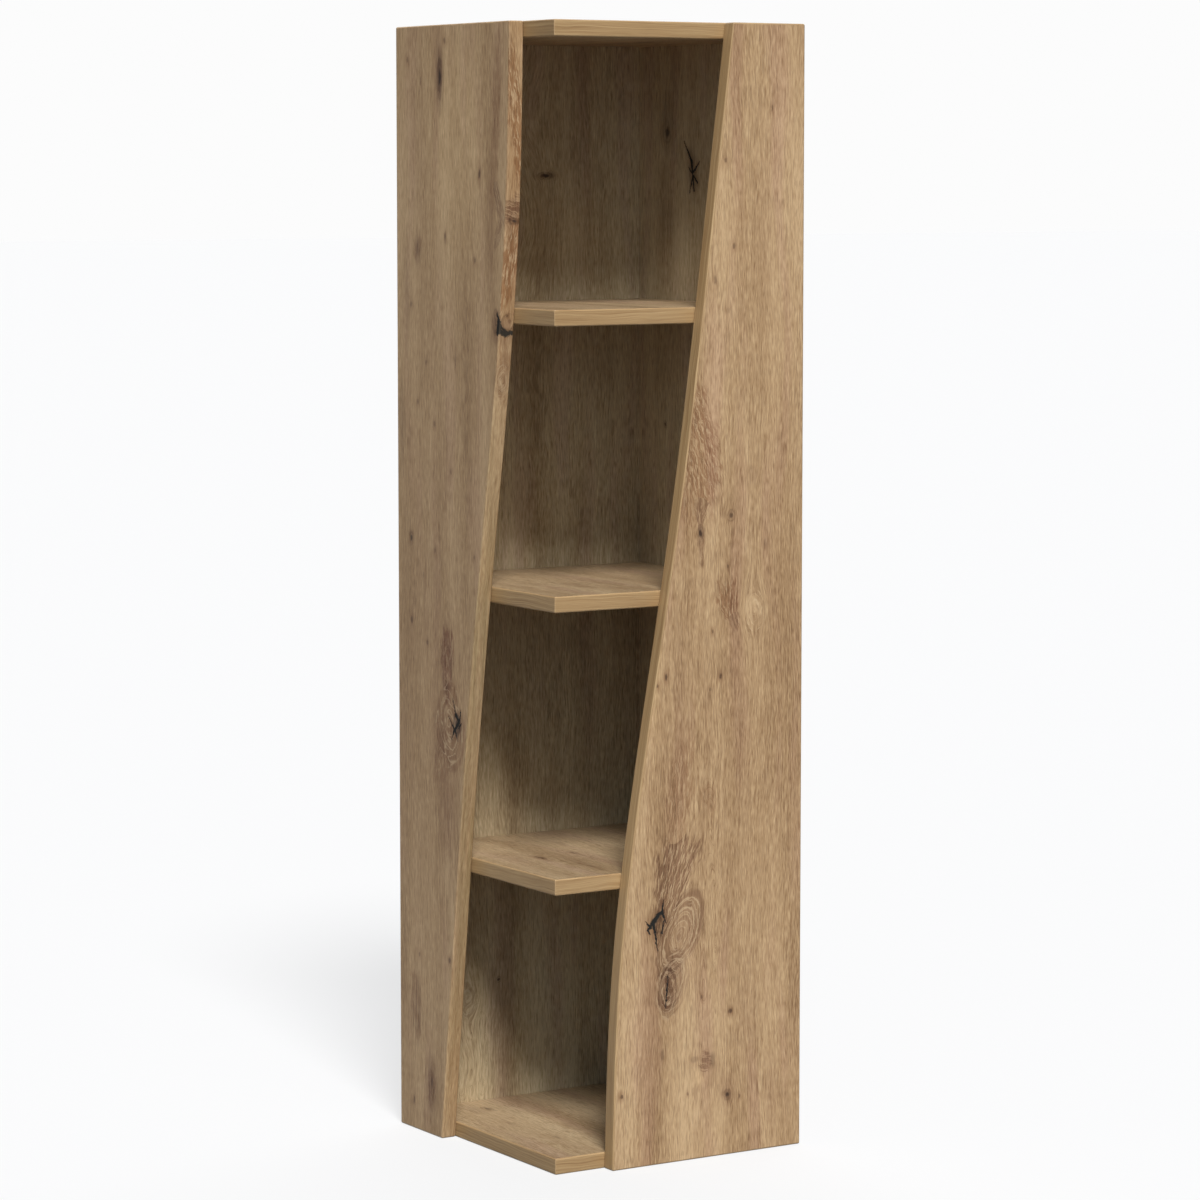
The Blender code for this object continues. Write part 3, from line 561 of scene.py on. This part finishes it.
RIGHT_FRONT = Features(
    knots=[knot(30.8, 735, 5.5, 10, push=0.7, body=0.6, core=0.95, lines=1.2, colour=PURPLE),
           knot(73, 754, 5, 7, push=0.5, body=0.6, core=0.45, lines=1.0, colour=PURPLE),
           knot(-14, 203, 13, 29, push=0.5, body=0.62, core=0.0, lines=2.2, glow=0.35, colour=HEART),
           knot(-26, 281, 8, 12, push=0.5, body=0.50, core=0.0, lines=1.6, colour=(0.50, 0.52, 0.56, 1.0)),
           knot(70, 72, 6, 7, push=0.6, body=0.5, core=0.9, lines=1.2),
           knot(106, 640, 12, 24, push=0.8, body=0.12, core=0.0, lines=2.0, glow=0.5, colour=PINK_BROWN)],
    flecks=[(64, 1163, 2.6, 4, 0.5), (128, 1223, 2, 5, 0.5), (76, 1065, 2.6, 5, 0.55), (50, 1026, 2.6, 8, 0.45),
            (69, 695, 1.9, 3.6, 0.7), (48, 620, 2.1, 3.2, 0.7), (59, 567, 2.4, 5, 0.8), (-16, 571, 3.0, 5.5, 0.85),
            (-29, 562, 2.8, 4.0, 0.8), (33.5, 192, 1.8, 3.6, 0.6), (74, 171, 3.0, 4, 0.85), (87, 68, 1.8, 4, 0.6),
            (-77, 86, 3.0, 3.8, 0.75), (14, 79, 1.4, 3.6, 0.5), (121, 720, 3, 7, 0.30), (-21, 129, 4, 10, 0.40),
            (24, 119, 8, 5, 0.30), (49, 115, 5, 13, 0.40), (62, 1276, 4, 6, 0.35), (45, 553, 2.4, 3, 0.35)],
    brushes=[brush(22, 880, 20, 82, 25, 0, FLAME, 0.95), brush(30, 805, 27, 50, 18, 0, FLAME, 0.90),
             brush(14, 770, 14, 40, 4, 0, FLAME, 0.60), brush(30.5, 760, 12, 26, -4, 26, HEART, 0.85, 0.15),
             brush(32, 717, 4.5, 20, 0, 0, HEART, 0.7, 0.0),
             brush(70, 652, 14, 34, 8, 40, FLAME, 1.0), brush(76, 632, 9, 15, 20, 0, HEART, 0.70, 0.1),
             brush(-8, 334, 27, 68, -16, 160, HEART, 0.92, 0.40), brush(2, 430, 19, 84, -6, 0, FLAME, 0.66),
             brush(40, 117, 13, 9, 78, 0, HEART, 0.75, 0.1),
             brush(44, 420, 11, 26, 6, 30, FLAME, 0.5)],
    swirls=[(3, 268, 29, 54, 0.34, 5.2, HEART, 0.74), (-8, 212, 22, 40, 0.20, 4.6, HEART, 0.70)],
    tints=[(-8, 430, 18, 120, PINK_BROWN, 0.30), (2, 520, 14, 150, PINK_BROWN, 0.35), (104, 800, 12, 14, PINK_BROWN, 0.35),
           (52, 92, 34, 26, PINK_BROWN, 0.30), (133, 70, 16, 60, PINK_BROWN, 0.45), (100, 150, 20, 110, PINK_BROWN, 0.30),
           (70, 74, 15, 26, PINK_BROWN, 0.5), (-30, 655, 12, 150, LIGHTER, 0.7), (-36, 560, 10, 120, LIGHTER, 0.6), (32, 97, 12, 14, LIGHTER, 0.9),
           (120, 1110, 20, 170, PINK_BROWN, 0.25), (62, 1270, 7, 30, PINK_BROWN, 0.4)],
    slants=[(-8, 410, 26, 110, 0.08)],
    arches=[(45, 434, 40, 220, 13.0, 0.5), (36, 360, 26, 160, 9.0, 0.6)],
    cracks=[(-19.5, 311, -21.5, 297, 0.5, 1.8), (-21.5, 297, -26, 295, 2.4, 3.0), (-26, 295, -32, 288, 3.0, 3.8),
            (-32, 288, -41, 278, 3.8, 1.8), (-44, 288, -37, 280, 0.6, 2.0), (-41, 278, -38, 272, 1.8, 0.6),
            (-21, 296, -16, 284, 2.0, 0.6), (-33, 283, -30, 268, 2.0, 1.5), (-30, 268, -27.5, 251, 1.5, 0.5),
            (-19, 288, -22, 272, 0.5, 1.0), (-13.4, 222, -14.6, 204, 0.6, 1.4), (-14.6, 204, -16.7, 184, 1.4, 0.5)],
    feathers=[(-8, 400, 18, 110, 0.3), (40, 420, 30, 50, 0.25), (106, 640, 16, 30, 0.4)],
)
# Across is X on the left back panel and Y on the right one.
LEFT_BACK = Features(
    knots=[knot(24, 1145, 12, 4.5, push=0.3, body=0.8, core=0.95, lines=1.0),
           knot(-89, 148, 13, 26, push=0.85, body=0.40, core=0.0, lines=2.0, glow=0.2),
           knot(-45, 166, 3, 4, push=0.3, body=0.5, core=0.8, lines=1.0)],
    # the first tint is painted light, lifting the wall between the middle and upper shelves out of its shade
    tints=[(0, 830, 420, 170, PAINTED_WALL_LIGHT, 1.0), (-30, 1130, 22, 150, PINK_BROWN, 0.4), (70, 1180, 26, 170, PINK_BROWN, 0.35), (-90, 100, 24, 50, PINK_BROWN, 0.3)],
    slants=[(-20, 1150, 90, 170, 0.32), (-85, 90, 40, 70, 0.25)],
    arches=[(-84, 150, 34, 130, 10.0, 0.5)],
    feathers=[(-84, 90, 30, 60, 0.3)],
)
RIGHT_BACK = Features(
    knots=[knot(94, 1197, 9, 14, push=0.7, body=0.6, core=0.9, lines=1.4), knot(98, 843, 4, 5, push=0.4, body=0.5, core=0.8, lines=1.0)],
    # the first tint is painted light, lifting the wall between the middle and upper shelves out of its shade
    tints=[(0, 830, 420, 170, PAINTED_WALL_LIGHT, 1.0), (94, 1215, 16, 46, PURPLE, 0.5), (38, 1152, 16, 40, PURPLE, 0.55), (100, 1080, 20, 90, PINK_BROWN, 0.5)],
    cracks=[(57, 1186, 41, 1163, 0.6, 2.2), (41, 1163, 35, 1127, 3.0, 1.2), (47, 1155, 28, 1137, 0.8, 1.8),
            (36, 1150, 23, 1162, 2.0, 0.6), (39, 1142, 45, 1124, 1.6, 0.5)],
)


def board_features(level):
    """Features on the shelf tops: across is X, along is Y."""
    found = {
        0: Features(knots=[knot(-89, 110, 5, 12, push=0.6, body=0.6, core=0.6, lines=1.2)], tints=[(-104, 120, 14, 40, PURPLE, 0.4)],
                    flecks=[(-106, 31, 2, 9, 0.4), (-96, -62, 3, 12, 0.35)]),
        1: Features(knots=[knot(-88, -14, 4.5, 13, push=0.6, body=0.6, core=0.65, lines=1.2),
                           knot(-36, -3, 4, 12, push=0.5, body=0.5, core=0.5, lines=1.2)],
                    tints=[(-88, -14, 12, 40, PINK_BROWN, 0.5), (-70, -90, 12, 46, PINK_BROWN, 0.45)]),
        2: Features(tints=[(-62, -49, 16, 60, PINK_BROWN, 0.5), (-39, -111, 10, 46, PINK_BROWN, 0.5)]),
    }.get(level, Features())
    dx, dy = 900.0 * level, 1700.0 * level
    found.knots = [(k[0] + dx, k[1] + dy, *k[2:]) for k in found.knots]
    found.flecks = [(k[0] + dx, k[1] + dy, *k[2:]) for k in found.flecks]
    found.tints = [(k[0] + dx, k[1] + dy, *k[2:]) for k in found.tints]
    return found


# ----------------------------------------------------------- other materials
def metal(name, colour, dark, rough, metallic=1.0, turned=None, grain=1.0):
    """A metal fastener's finish: fine grain and dulled patches. turned is not used."""
    mat = bpy.data.materials.new(name)
    mat.use_nodes = True
    g = Graph(mat.node_tree)
    place = Val(g, g.new("ShaderNodeTexCoord").outputs["Object"])

    def cloud(scale, detail, rough_=0.55):
        node = g.new("ShaderNodeTexNoise", noise_dimensions="3D")
        g.put(place, node.inputs["Vector"])
        node.inputs["Scale"].default_value = scale
        node.inputs["Detail"].default_value = detail
        node.inputs["Roughness"].default_value = rough_
        return Val(g, node.outputs[0])

    fine = cloud(2600.0 * grain, 2.0)
    patch = cloud(260.0 * grain, 3.0)
    shade = g.ease(patch, 0.30, 0.72) * 0.75 + (fine - 0.5) * 0.5
    colour = g.mix(shade, dark, colour)
    rough_v = (patch - 0.5) * 0.22 + (fine - 0.5) * 0.16 + rough
    height = (fine - 0.5) * 0.010 + (patch - 0.5) * 0.02
    bump = g.new("ShaderNodeBump")
    bump.inputs["Strength"].default_value = 1.0
    bump.inputs["Distance"].default_value = 0.001
    g.put(height, bump.inputs["Height"])
    shader = g.new("ShaderNodeBsdfPrincipled")
    shader.inputs["Metallic"].default_value = metallic
    g.put(colour, shader.inputs["Base Color"])
    g.put(rough_v, shader.inputs["Roughness"])
    g.tree.links.new(bump.outputs[0], shader.inputs["Normal"])
    out = g.new("ShaderNodeOutputMaterial")
    g.tree.links.new(shader.outputs[0], out.inputs["Surface"])
    return mat


def beech(name):
    mat = bpy.data.materials.new(name)
    mat.use_nodes = True
    g = Graph(mat.node_tree)
    place = g.vec("MULTIPLY", Val(g, g.new("ShaderNodeTexCoord").outputs["Object"]), (1000.0, 1000.0, 1000.0))
    at = g.join(g.split(place)[0] + g.split(place)[1] * 0.6, g.split(place)[2])
    streak = g.noise(at, 1.4, 0.08, 2.0)
    fleck = g.ease(g.noise(at, 2.2, 0.5, 0.0, seed=(3.0, 5.0)), 0.62, 0.80)
    colour = g.ramp(streak, [(0.2, srgb(176, 136, 92)), (0.8, srgb(216, 180, 134))])
    colour = g.mix(fleck * 0.5, colour, srgb(150, 108, 70))
    bump = g.new("ShaderNodeBump")
    bump.inputs["Distance"].default_value = 0.001
    g.put((streak - 0.5) * 0.04 - fleck * 0.05, bump.inputs["Height"])
    shader = g.new("ShaderNodeBsdfPrincipled")
    g.put(colour, shader.inputs["Base Color"])
    g.put(streak * 0.15 + 0.58, shader.inputs["Roughness"])
    g.tree.links.new(bump.outputs[0], shader.inputs["Normal"])
    out = g.new("ShaderNodeOutputMaterial")
    g.tree.links.new(shader.outputs[0], out.inputs["Surface"])
    return mat


# ---------------------------------------------------------- boards and panels
def smooth_group():
    """Joins a board's faces into one skin and shades its arrises round."""
    group = bpy.data.node_groups.new("smooth_arrises", "GeometryNodeTree")
    group.interface.new_socket("Geometry", in_out="INPUT", socket_type="NodeSocketGeometry")
    group.interface.new_socket("Geometry", in_out="OUTPUT", socket_type="NodeSocketGeometry")
    new = group.nodes.new
    start, end = new("NodeGroupInput"), new("NodeGroupOutput")
    weld = new("GeometryNodeMergeByDistance")
    weld.inputs["Distance"].default_value = 2e-6
    drop = new("GeometryNodeRemoveAttribute")
    drop.inputs["Name"].default_value = "custom_normal"
    soft = new("GeometryNodeSetShadeSmooth")
    soft.inputs["Shade Smooth"].default_value = True
    angle = new("GeometryNodeInputMeshEdgeAngle")
    above = new("FunctionNodeCompare")
    above.data_type = "FLOAT"
    above.operation = "GREATER_THAN"
    above.inputs["B"].default_value = math.radians(40)
    hard = new("GeometryNodeSetShadeSmooth")
    hard.domain = "EDGE"
    hard.inputs["Shade Smooth"].default_value = False
    link = group.links.new
    link(start.outputs[0], weld.inputs["Geometry"])
    link(weld.outputs[0], drop.inputs["Geometry"])
    link(drop.outputs[0], soft.inputs["Geometry"])
    link(soft.outputs[0], hard.inputs["Geometry"])
    link(angle.outputs["Unsigned Angle"], above.inputs["A"])
    link(above.outputs[0], hard.inputs["Selection"])
    link(hard.outputs[0], end.inputs[0])
    return group


SMOOTH = smooth_group()


def finish_board(node, mat):
    ob = NODES[node]
    ob.data.materials.clear()
    ob.data.materials.append(mat)
    ob.modifiers.new("smooth", "NODES").node_group = SMOOTH
    even = ob.modifiers.new("even", "WEIGHTED_NORMAL")
    even.mode = "FACE_AREA"
    even.weight = 100
    even.keep_sharp = True


# inside= picks the faces that take the painted light of the compartments
finish_board("left_front_panel", oak("oak_left_front", "X", "Z", -1.0, LEFT_FRONT,
                                     look(furrow=0.20, bright=0.10, dash=0.14, hue=0.30, ring=0.17, streak=0.58, thin=0.95, wide=0.60, middling=0.18,
                                          edge_features=0.94, stops=FRONT_STOPS, band_stops=WARM_BAND_STOPS, inside="hidden", arris=0.04)))
finish_board("right_front_panel", oak("oak_right_front", "Y", "Z", -1.0, RIGHT_FRONT, look(stops=FRONT_STOPS, inside="hidden")))
finish_board("left_back_panel", oak("oak_left_back", "Y", "Z", -1.0, LEFT_BACK, look(inside="shown")))
finish_board("right_back_panel", oak("oak_right_back", "X", "Z", -1.0, RIGHT_BACK, look(inside="shown")))
for level, node in enumerate(("bottom_board", "lower_shelf", "middle_shelf", "upper_shelf", "top_board")):
    finish_board(node, oak("oak_" + node, "Z", "Y", 1.0, board_features(level), look(wild_hidden_only=level < 3, inside="both"),
                           shift=(900.0 * level, 1700.0 * level)))


# ------------------------------------------------------------------ fasteners
def ring_mesh(name, rings, mats, closed=True):
    """A skin over rings of points, first to last, with flat ends."""
    bm = bmesh.new()
    made = [[bm.verts.new(p) for p in ring] for ring in rings]
    n = len(rings[0])
    for lower, upper in zip(made, made[1:]):
        for k in range(n):
            bm.faces.new((lower[k], lower[(k + 1) % n], upper[(k + 1) % n], upper[k]))
    bm.faces.new(made[0][::-1])
    bm.faces.new(made[-1])
    bmesh.ops.recalc_face_normals(bm, faces=bm.faces)
    mesh = bpy.data.meshes.new(name)
    bm.to_mesh(mesh)
    bm.free()
    for mat in mats:
        mesh.materials.append(mat)
    mesh.shade_smooth()
    mesh.set_sharp_from_angle(angle=math.radians(38))
    return mesh


def circle(radius, along, sides, hexagon=False):
    """A ring of points round +Z. A hexagon keeps its six corners."""
    points = []
    for k in range(sides):
        turn = 2 * math.pi * k / sides
        r = radius
        if hexagon:
            r = radius * math.cos(math.pi / 6) / math.cos((turn % (math.pi / 3)) - math.pi / 6)
        points.append(Vector((r * math.cos(turn), r * math.sin(turn), along)))
    return points


def thread(core, crest, pitch, start, stop, sides, step, fade):
    """Rings along a screw thread from start down to stop."""
    rings = []
    count = max(2, round(abs(stop - start) / step))
    for i in range(count + 1):
        z = start + (stop - start) * i / count
        near = min(abs(z - start), abs(z - stop)) / fade
        depth = (crest - core) * min(1.0, near)
        ring = []
        for k in range(sides):
            turn = k / sides
            phase = ((z / pitch) + turn) % 1.0
            ridge = max(0.0, 1 - abs(phase - 0.5) / 0.26)
            r = core + depth * ridge
            ring.append(Vector((r * math.cos(2 * math.pi * turn), r * math.sin(2 * math.pi * turn), z)))
        rings.append(ring)
    return rings


def screw_mesh(mat):
    """A 50 mm countersunk screw with a hexagon socket; its head's face is at
    z 0 and its tip points to -Z."""
    sides = 36
    rings = [
        circle(0.0006, -0.0030, sides),
        circle(0.0022, -0.0026, sides, True),
        circle(0.00228, -0.0004, sides, True),
        circle(0.00250, -0.00012, sides, True),
        circle(0.00270, -0.00002, sides),
        circle(0.00440, 0.0, sides),
        circle(0.00468, -0.00006, sides),
        circle(0.00478, -0.00024, sides),
        circle(0.00478, -0.00070, sides),
        circle(0.00440, -0.00115, sides),
        circle(0.00330, -0.00228, sides),
        circle(0.00305, -0.00270, sides),
        circle(0.00305, -0.01150, sides),
    ]
    rings += thread(0.00242, 0.00338, 0.0030, -0.0120, -0.0450, sides, 0.00050, 0.0016)
    rings += thread(0.00225, 0.00300, 0.0030, -0.0455, -0.0480, sides, 0.00050, 0.0010)
    rings += [circle(0.0012, -0.0496, sides), circle(0.0004, -0.0500, sides)]
    return ring_mesh("screw_detail", rings, [mat])


def bolt_mesh(mat):
    """A cam bolt: thread, collar, neck and head along +Z; the panel's face is
    at z 0."""
    sides = 28
    rings = [circle(0.0014, -0.0115, sides), circle(0.0021, -0.0111, sides)]
    rings += thread(0.00225, 0.00298, 0.0024, -0.0106, -0.0008, sides, 0.00045, 0.0012)
    rings += [
        circle(0.0024, -0.0002, sides), circle(0.0029, 0.0002, sides), circle(0.00335, 0.0005, sides),
        circle(0.00355, 0.0008, sides), circle(0.00355, 0.0024, sides), circle(0.0033, 0.0027, sides),
        circle(0.0024, 0.0030, sides), circle(0.0022, 0.0033, sides), circle(0.0022, 0.0328, sides),
        circle(0.0026, 0.0333, sides), circle(0.0033, 0.0342, sides), circle(0.0034, 0.0347, sides),
        circle(0.0034, 0.0362, sides), circle(0.0031, 0.0368, sides), circle(0.0020, 0.0370, sides),
    ]
    return ring_mesh("bolt_detail", rings, [mat])


def dowel_mesh(mat):
    """A fluted dowel, 30 mm long, with chamfered ends; the panel's face is at
    z 0."""
    sides, flutes = 72, 12
    rings = []
    for along, radius, deep in ((-0.0100, 0.0029, 0.0), (-0.0096, 0.0034, 0.0), (-0.0086, 0.0039, 0.0003),
                                (-0.0070, 0.00398, 0.00032), (0.0170, 0.00398, 0.00032), (0.0186, 0.0039, 0.0003),
                                (0.0196, 0.0034, 0.0), (0.0200, 0.0029, 0.0)):
        ring = []
        for k in range(sides):
            turn = 2 * math.pi * k / sides
            r = radius - deep * (0.5 - 0.5 * math.cos(turn * flutes)) ** 2
            ring.append(Vector((r * math.cos(turn), r * math.sin(turn), along)))
        rings.append(ring)
    return ring_mesh("dowel_detail", rings, [mat])


def cam_detail_mesh(mat):
    """A die-cast cam: a drum with rounded rims, open at one side for the
    bolt's head, with a cross recess, a ring groove and a pointer in the face
    that shows. +Z points out of the board and +X towards the bolt."""
    sides = 64
    r = 0.0072
    rings = [
        circle(0.0030, -0.0125, sides), circle(r - 0.0006, -0.0125, sides), circle(r - 0.0002, -0.01235, sides),
        circle(r, -0.0120, sides), circle(r, -0.0012, sides), circle(r + 0.00008, -0.0010, sides),
        circle(r + 0.00008, -0.0005, sides), circle(r - 0.0002, -0.0001, sides), circle(r - 0.0005, 0.0, sides),
        circle(0.0060, 0.0, sides), circle(0.0058, -0.00025, sides), circle(0.0054, -0.00025, sides),
        circle(0.0052, 0.0, sides), circle(0.0040, 0.0, sides),
    ]
    body = bpy.data.objects.new("cam_body", ring_mesh("cam_body", rings, []))
    bpy.context.scene.collection.objects.link(body)
    tools = []

    def cutter(name, build):
        bm = bmesh.new()
        build(bm)
        bmesh.ops.recalc_face_normals(bm, faces=bm.faces)
        mesh = bpy.data.meshes.new(name)
        bm.to_mesh(mesh)
        bm.free()
        tool = bpy.data.objects.new(name, mesh)
        bpy.context.scene.collection.objects.link(tool)
        tools.append(tool)
        cut = body.modifiers.new(name, "BOOLEAN")
        cut.operation = "DIFFERENCE"
        cut.solver = "EXACT"
        cut.object = tool

    def claw(bm):
        made = bmesh.ops.create_cube(bm, size=1.0)["verts"]
        bmesh.ops.scale(bm, vec=(0.0144, 0.0080, 0.0080), verts=made)
        bmesh.ops.translate(bm, vec=(0.0020, 0.0, -0.0095), verts=made)
        bmesh.ops.bevel(bm, geom=[e for e in bm.edges], offset=0.0008, segments=2, affect="EDGES", profile=0.5)

    def cross(bm):
        arm, wide = 0.0042, 0.0008
        outline = [(arm, wide), (wide, wide), (wide, arm), (-wide, arm), (-wide, wide), (-arm, wide),
                   (-arm, -wide), (-wide, -wide), (-wide, -arm), (wide, -arm), (wide, -wide), (arm, -wide)]
        low = [bm.verts.new((x * 0.72, y * 0.72, -0.0022)) for x, y in outline]
        high = [bm.verts.new((x, y, 0.0008)) for x, y in outline]
        bm.faces.new(low[::-1])
        bm.faces.new(high)
        for k in range(12):
            bm.faces.new((low[k], low[(k + 1) % 12], high[(k + 1) % 12], high[k]))

    def pointer(bm):
        outline = [(0.0068, 0.0), (0.0060, 0.0006), (0.0060, -0.0006)]
        low = [bm.verts.new((x, y, -0.0004)) for x, y in outline]
        high = [bm.verts.new((x, y, 0.0008)) for x, y in outline]
        bm.faces.new(low[::-1])
        bm.faces.new(high)
        for k in range(3):
            bm.faces.new((low[k], low[(k + 1) % 3], high[(k + 1) % 3], high[k]))

    cutter("cam_claw", claw)
    cutter("cam_cross", cross)
    cutter("cam_pointer", pointer)
    bpy.context.view_layer.update()
    ready = body.evaluated_get(bpy.context.evaluated_depsgraph_get())
    mesh = bpy.data.meshes.new_from_object(ready)
    mesh.name = "cam_detail"
    for ob in [body, *tools]:
        bpy.data.objects.remove(ob, do_unlink=True)
    mesh.materials.clear()
    mesh.materials.append(mat)
    mesh.shade_smooth()
    mesh.set_sharp_from_angle(angle=math.radians(38))
    return mesh


def stand_for(node, mesh, place):
    """Puts a detailed piece in a CAD node's place."""
    ob = bpy.data.objects.new(node + "_piece", mesh)
    bpy.context.scene.collection.objects.link(ob)
    ob.matrix_world = place
    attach(ob, "root")
    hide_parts(node)
    return ob


def facing(origin, out, up=None):
    """A frame at origin with its +Z along out and, if up is given, +X along it."""
    z = Vector(out).normalized()
    x = Vector(up).normalized() if up is not None else z.orthogonal().normalized()
    y = z.cross(x)
    turn = Matrix((x, y, z)).transposed().to_4x4()
    return Matrix.Translation(Vector(origin)) @ turn


STEEL = metal("zinc_plated_steel", srgb(196, 198, 202), srgb(140, 143, 150), 0.34)
ZINC = metal("die_cast_zinc", srgb(168, 170, 172), srgb(116, 118, 121), 0.48)
BRASSY = metal("yellow_passivated_steel", srgb(206, 190, 142), srgb(150, 134, 96), 0.32)
BEECH = beech("beech_dowel")

screw, bolt, cam, dowel = screw_mesh(STEEL), bolt_mesh(BRASSY), cam_detail_mesh(ZINC), dowel_mesh(BEECH)
for node in sorted(NODES):
    lo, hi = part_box(node)
    mid = (lo + hi) / 2
    # the right panels' fasteners lie along Y in front and along X behind
    if node.startswith("screw_right"):
        turn = Matrix.Rotation(0.4 * (len(node) + hi.z * 7), 4, "Z")
        stand_for(node, screw, facing((hi.x, mid.y, mid.z), (1, 0, 0)) @ turn)
    elif node.startswith("screw"):
        turn = Matrix.Rotation(0.5 * (len(node) + hi.z * 5), 4, "Z")
        stand_for(node, screw, facing((mid.x, hi.y, mid.z), (0, 1, 0)) @ turn)
    elif node.startswith("cam_bolt_left"):
        stand_for(node, bolt, facing((lo.x + 0.0115, mid.y, mid.z), (1, 0, 0)))
    elif node.startswith("cam_bolt_right"):
        stand_for(node, bolt, facing((mid.x, lo.y + 0.0115, mid.z), (0, 1, 0)))
    elif node.startswith("cam_left"):
        stand_for(node, cam, facing((mid.x, mid.y, lo.z), (0, 0, -1), (-1, 0, 0)))
    elif node.startswith("cam_right"):
        stand_for(node, cam, facing((mid.x, mid.y, lo.z), (0, 0, -1), (0, -1, 0)))
    elif node.startswith("dowel_left"):
        stand_for(node, dowel, facing((lo.x + 0.010, mid.y, mid.z), (1, 0, 0)))
    elif node.startswith("dowel_right"):
        stand_for(node, dowel, facing((mid.x, lo.y + 0.010, mid.z), (0, 1, 0)))


# ---------------------------------------------------------------------- stage
def floor():
    mesh = bpy.data.meshes.new("floor")
    bm = bmesh.new()
    made = bmesh.ops.create_grid(bm, x_segments=2, y_segments=2, size=60.0)
    bm.to_mesh(mesh)
    bm.free()
    ob = bpy.data.objects.new("floor", mesh)
    bpy.context.scene.collection.objects.link(ob)
    ob.location = (0, 0, cad_box[0].z - 0.0002)
    mat = bpy.data.materials.new("pale_floor")
    mat.use_nodes = True
    # it looks paler than the light that it throws back at the boards
    shader = mat.node_tree.nodes["Principled BSDF"]
    shader.inputs["Base Color"].default_value = (0.26, 0.26, 0.26, 1.0)
    shader.inputs["Roughness"].default_value = 0.9
    shader.inputs["Specular IOR Level"].default_value = 0.0
    shader.inputs["Emission Color"].default_value = (0.641, 0.639, 0.639, 1.0)
    seen = mat.node_tree.nodes.new("ShaderNodeLightPath").outputs["Is Camera Ray"]
    mat.node_tree.links.new(seen, shader.inputs["Emission Strength"])
    mesh.materials.append(mat)
    return ob


def sun(name, azimuth, elevation, strength, angle, colour=(1, 1, 1)):
    """A soft far light. Azimuth 0 shines along +Y, 90 along -X."""
    a, e = math.radians(azimuth), math.radians(elevation)
    towards = Vector((math.sin(a) * math.cos(e), -math.cos(a) * math.cos(e), math.sin(e)))
    data = bpy.data.lights.new(name, "SUN")
    data.energy = strength
    data.angle = math.radians(angle)
    data.color = colour
    ob = bpy.data.objects.new(name, data)
    bpy.context.scene.collection.objects.link(ob)
    ob.rotation_mode = "QUATERNION"
    ob.rotation_quaternion = (-towards).to_track_quat("-Z", "Y")
    return ob


floor()
sun("key", -23.0, 47.5, 3.95, 18.5)
sun("fill", -42.0, 6.0, 0.50, 60.0, (0.52, 0.78, 1.0))
sun("behind", 140.0, 38.0, 1.1, 70.0, (0.92, 0.96, 1.0))

world = bpy.data.worlds.new("studio")
bpy.context.scene.world = world
world.use_nodes = True
wg = Graph(world.node_tree)
seen = Val(wg, wg.new("ShaderNodeLightPath").outputs["Is Camera Ray"])
back = wg.new("ShaderNodeBackground")
wg.put(wg.mix(seen, (0.106, 0.112, 0.122, 1.0), (0.973, 0.973, 0.973, 1.0)), back.inputs["Color"])
back.inputs["Strength"].default_value = 1.0
world_out = wg.new("ShaderNodeOutputWorld")
wg.tree.links.new(back.outputs[0], world_out.inputs["Surface"])

scene = bpy.context.scene
scene.view_settings.view_transform = "Standard"
scene.view_settings.look = "None"

camera = bpy.data.cameras.new("camera")
camera.lens = 125.22
camera.sensor_width = 36.0
camera.clip_start = 0.1
camera.clip_end = 200.0
eye = bpy.data.objects.new("camera", camera)
scene.collection.objects.link(eye)
eye.location = (-2.6121, -4.1779, 1.1492)
eye.rotation_euler = (math.radians(90 - 5.852), 0.0, math.radians(-32.04))
scene.camera = eye
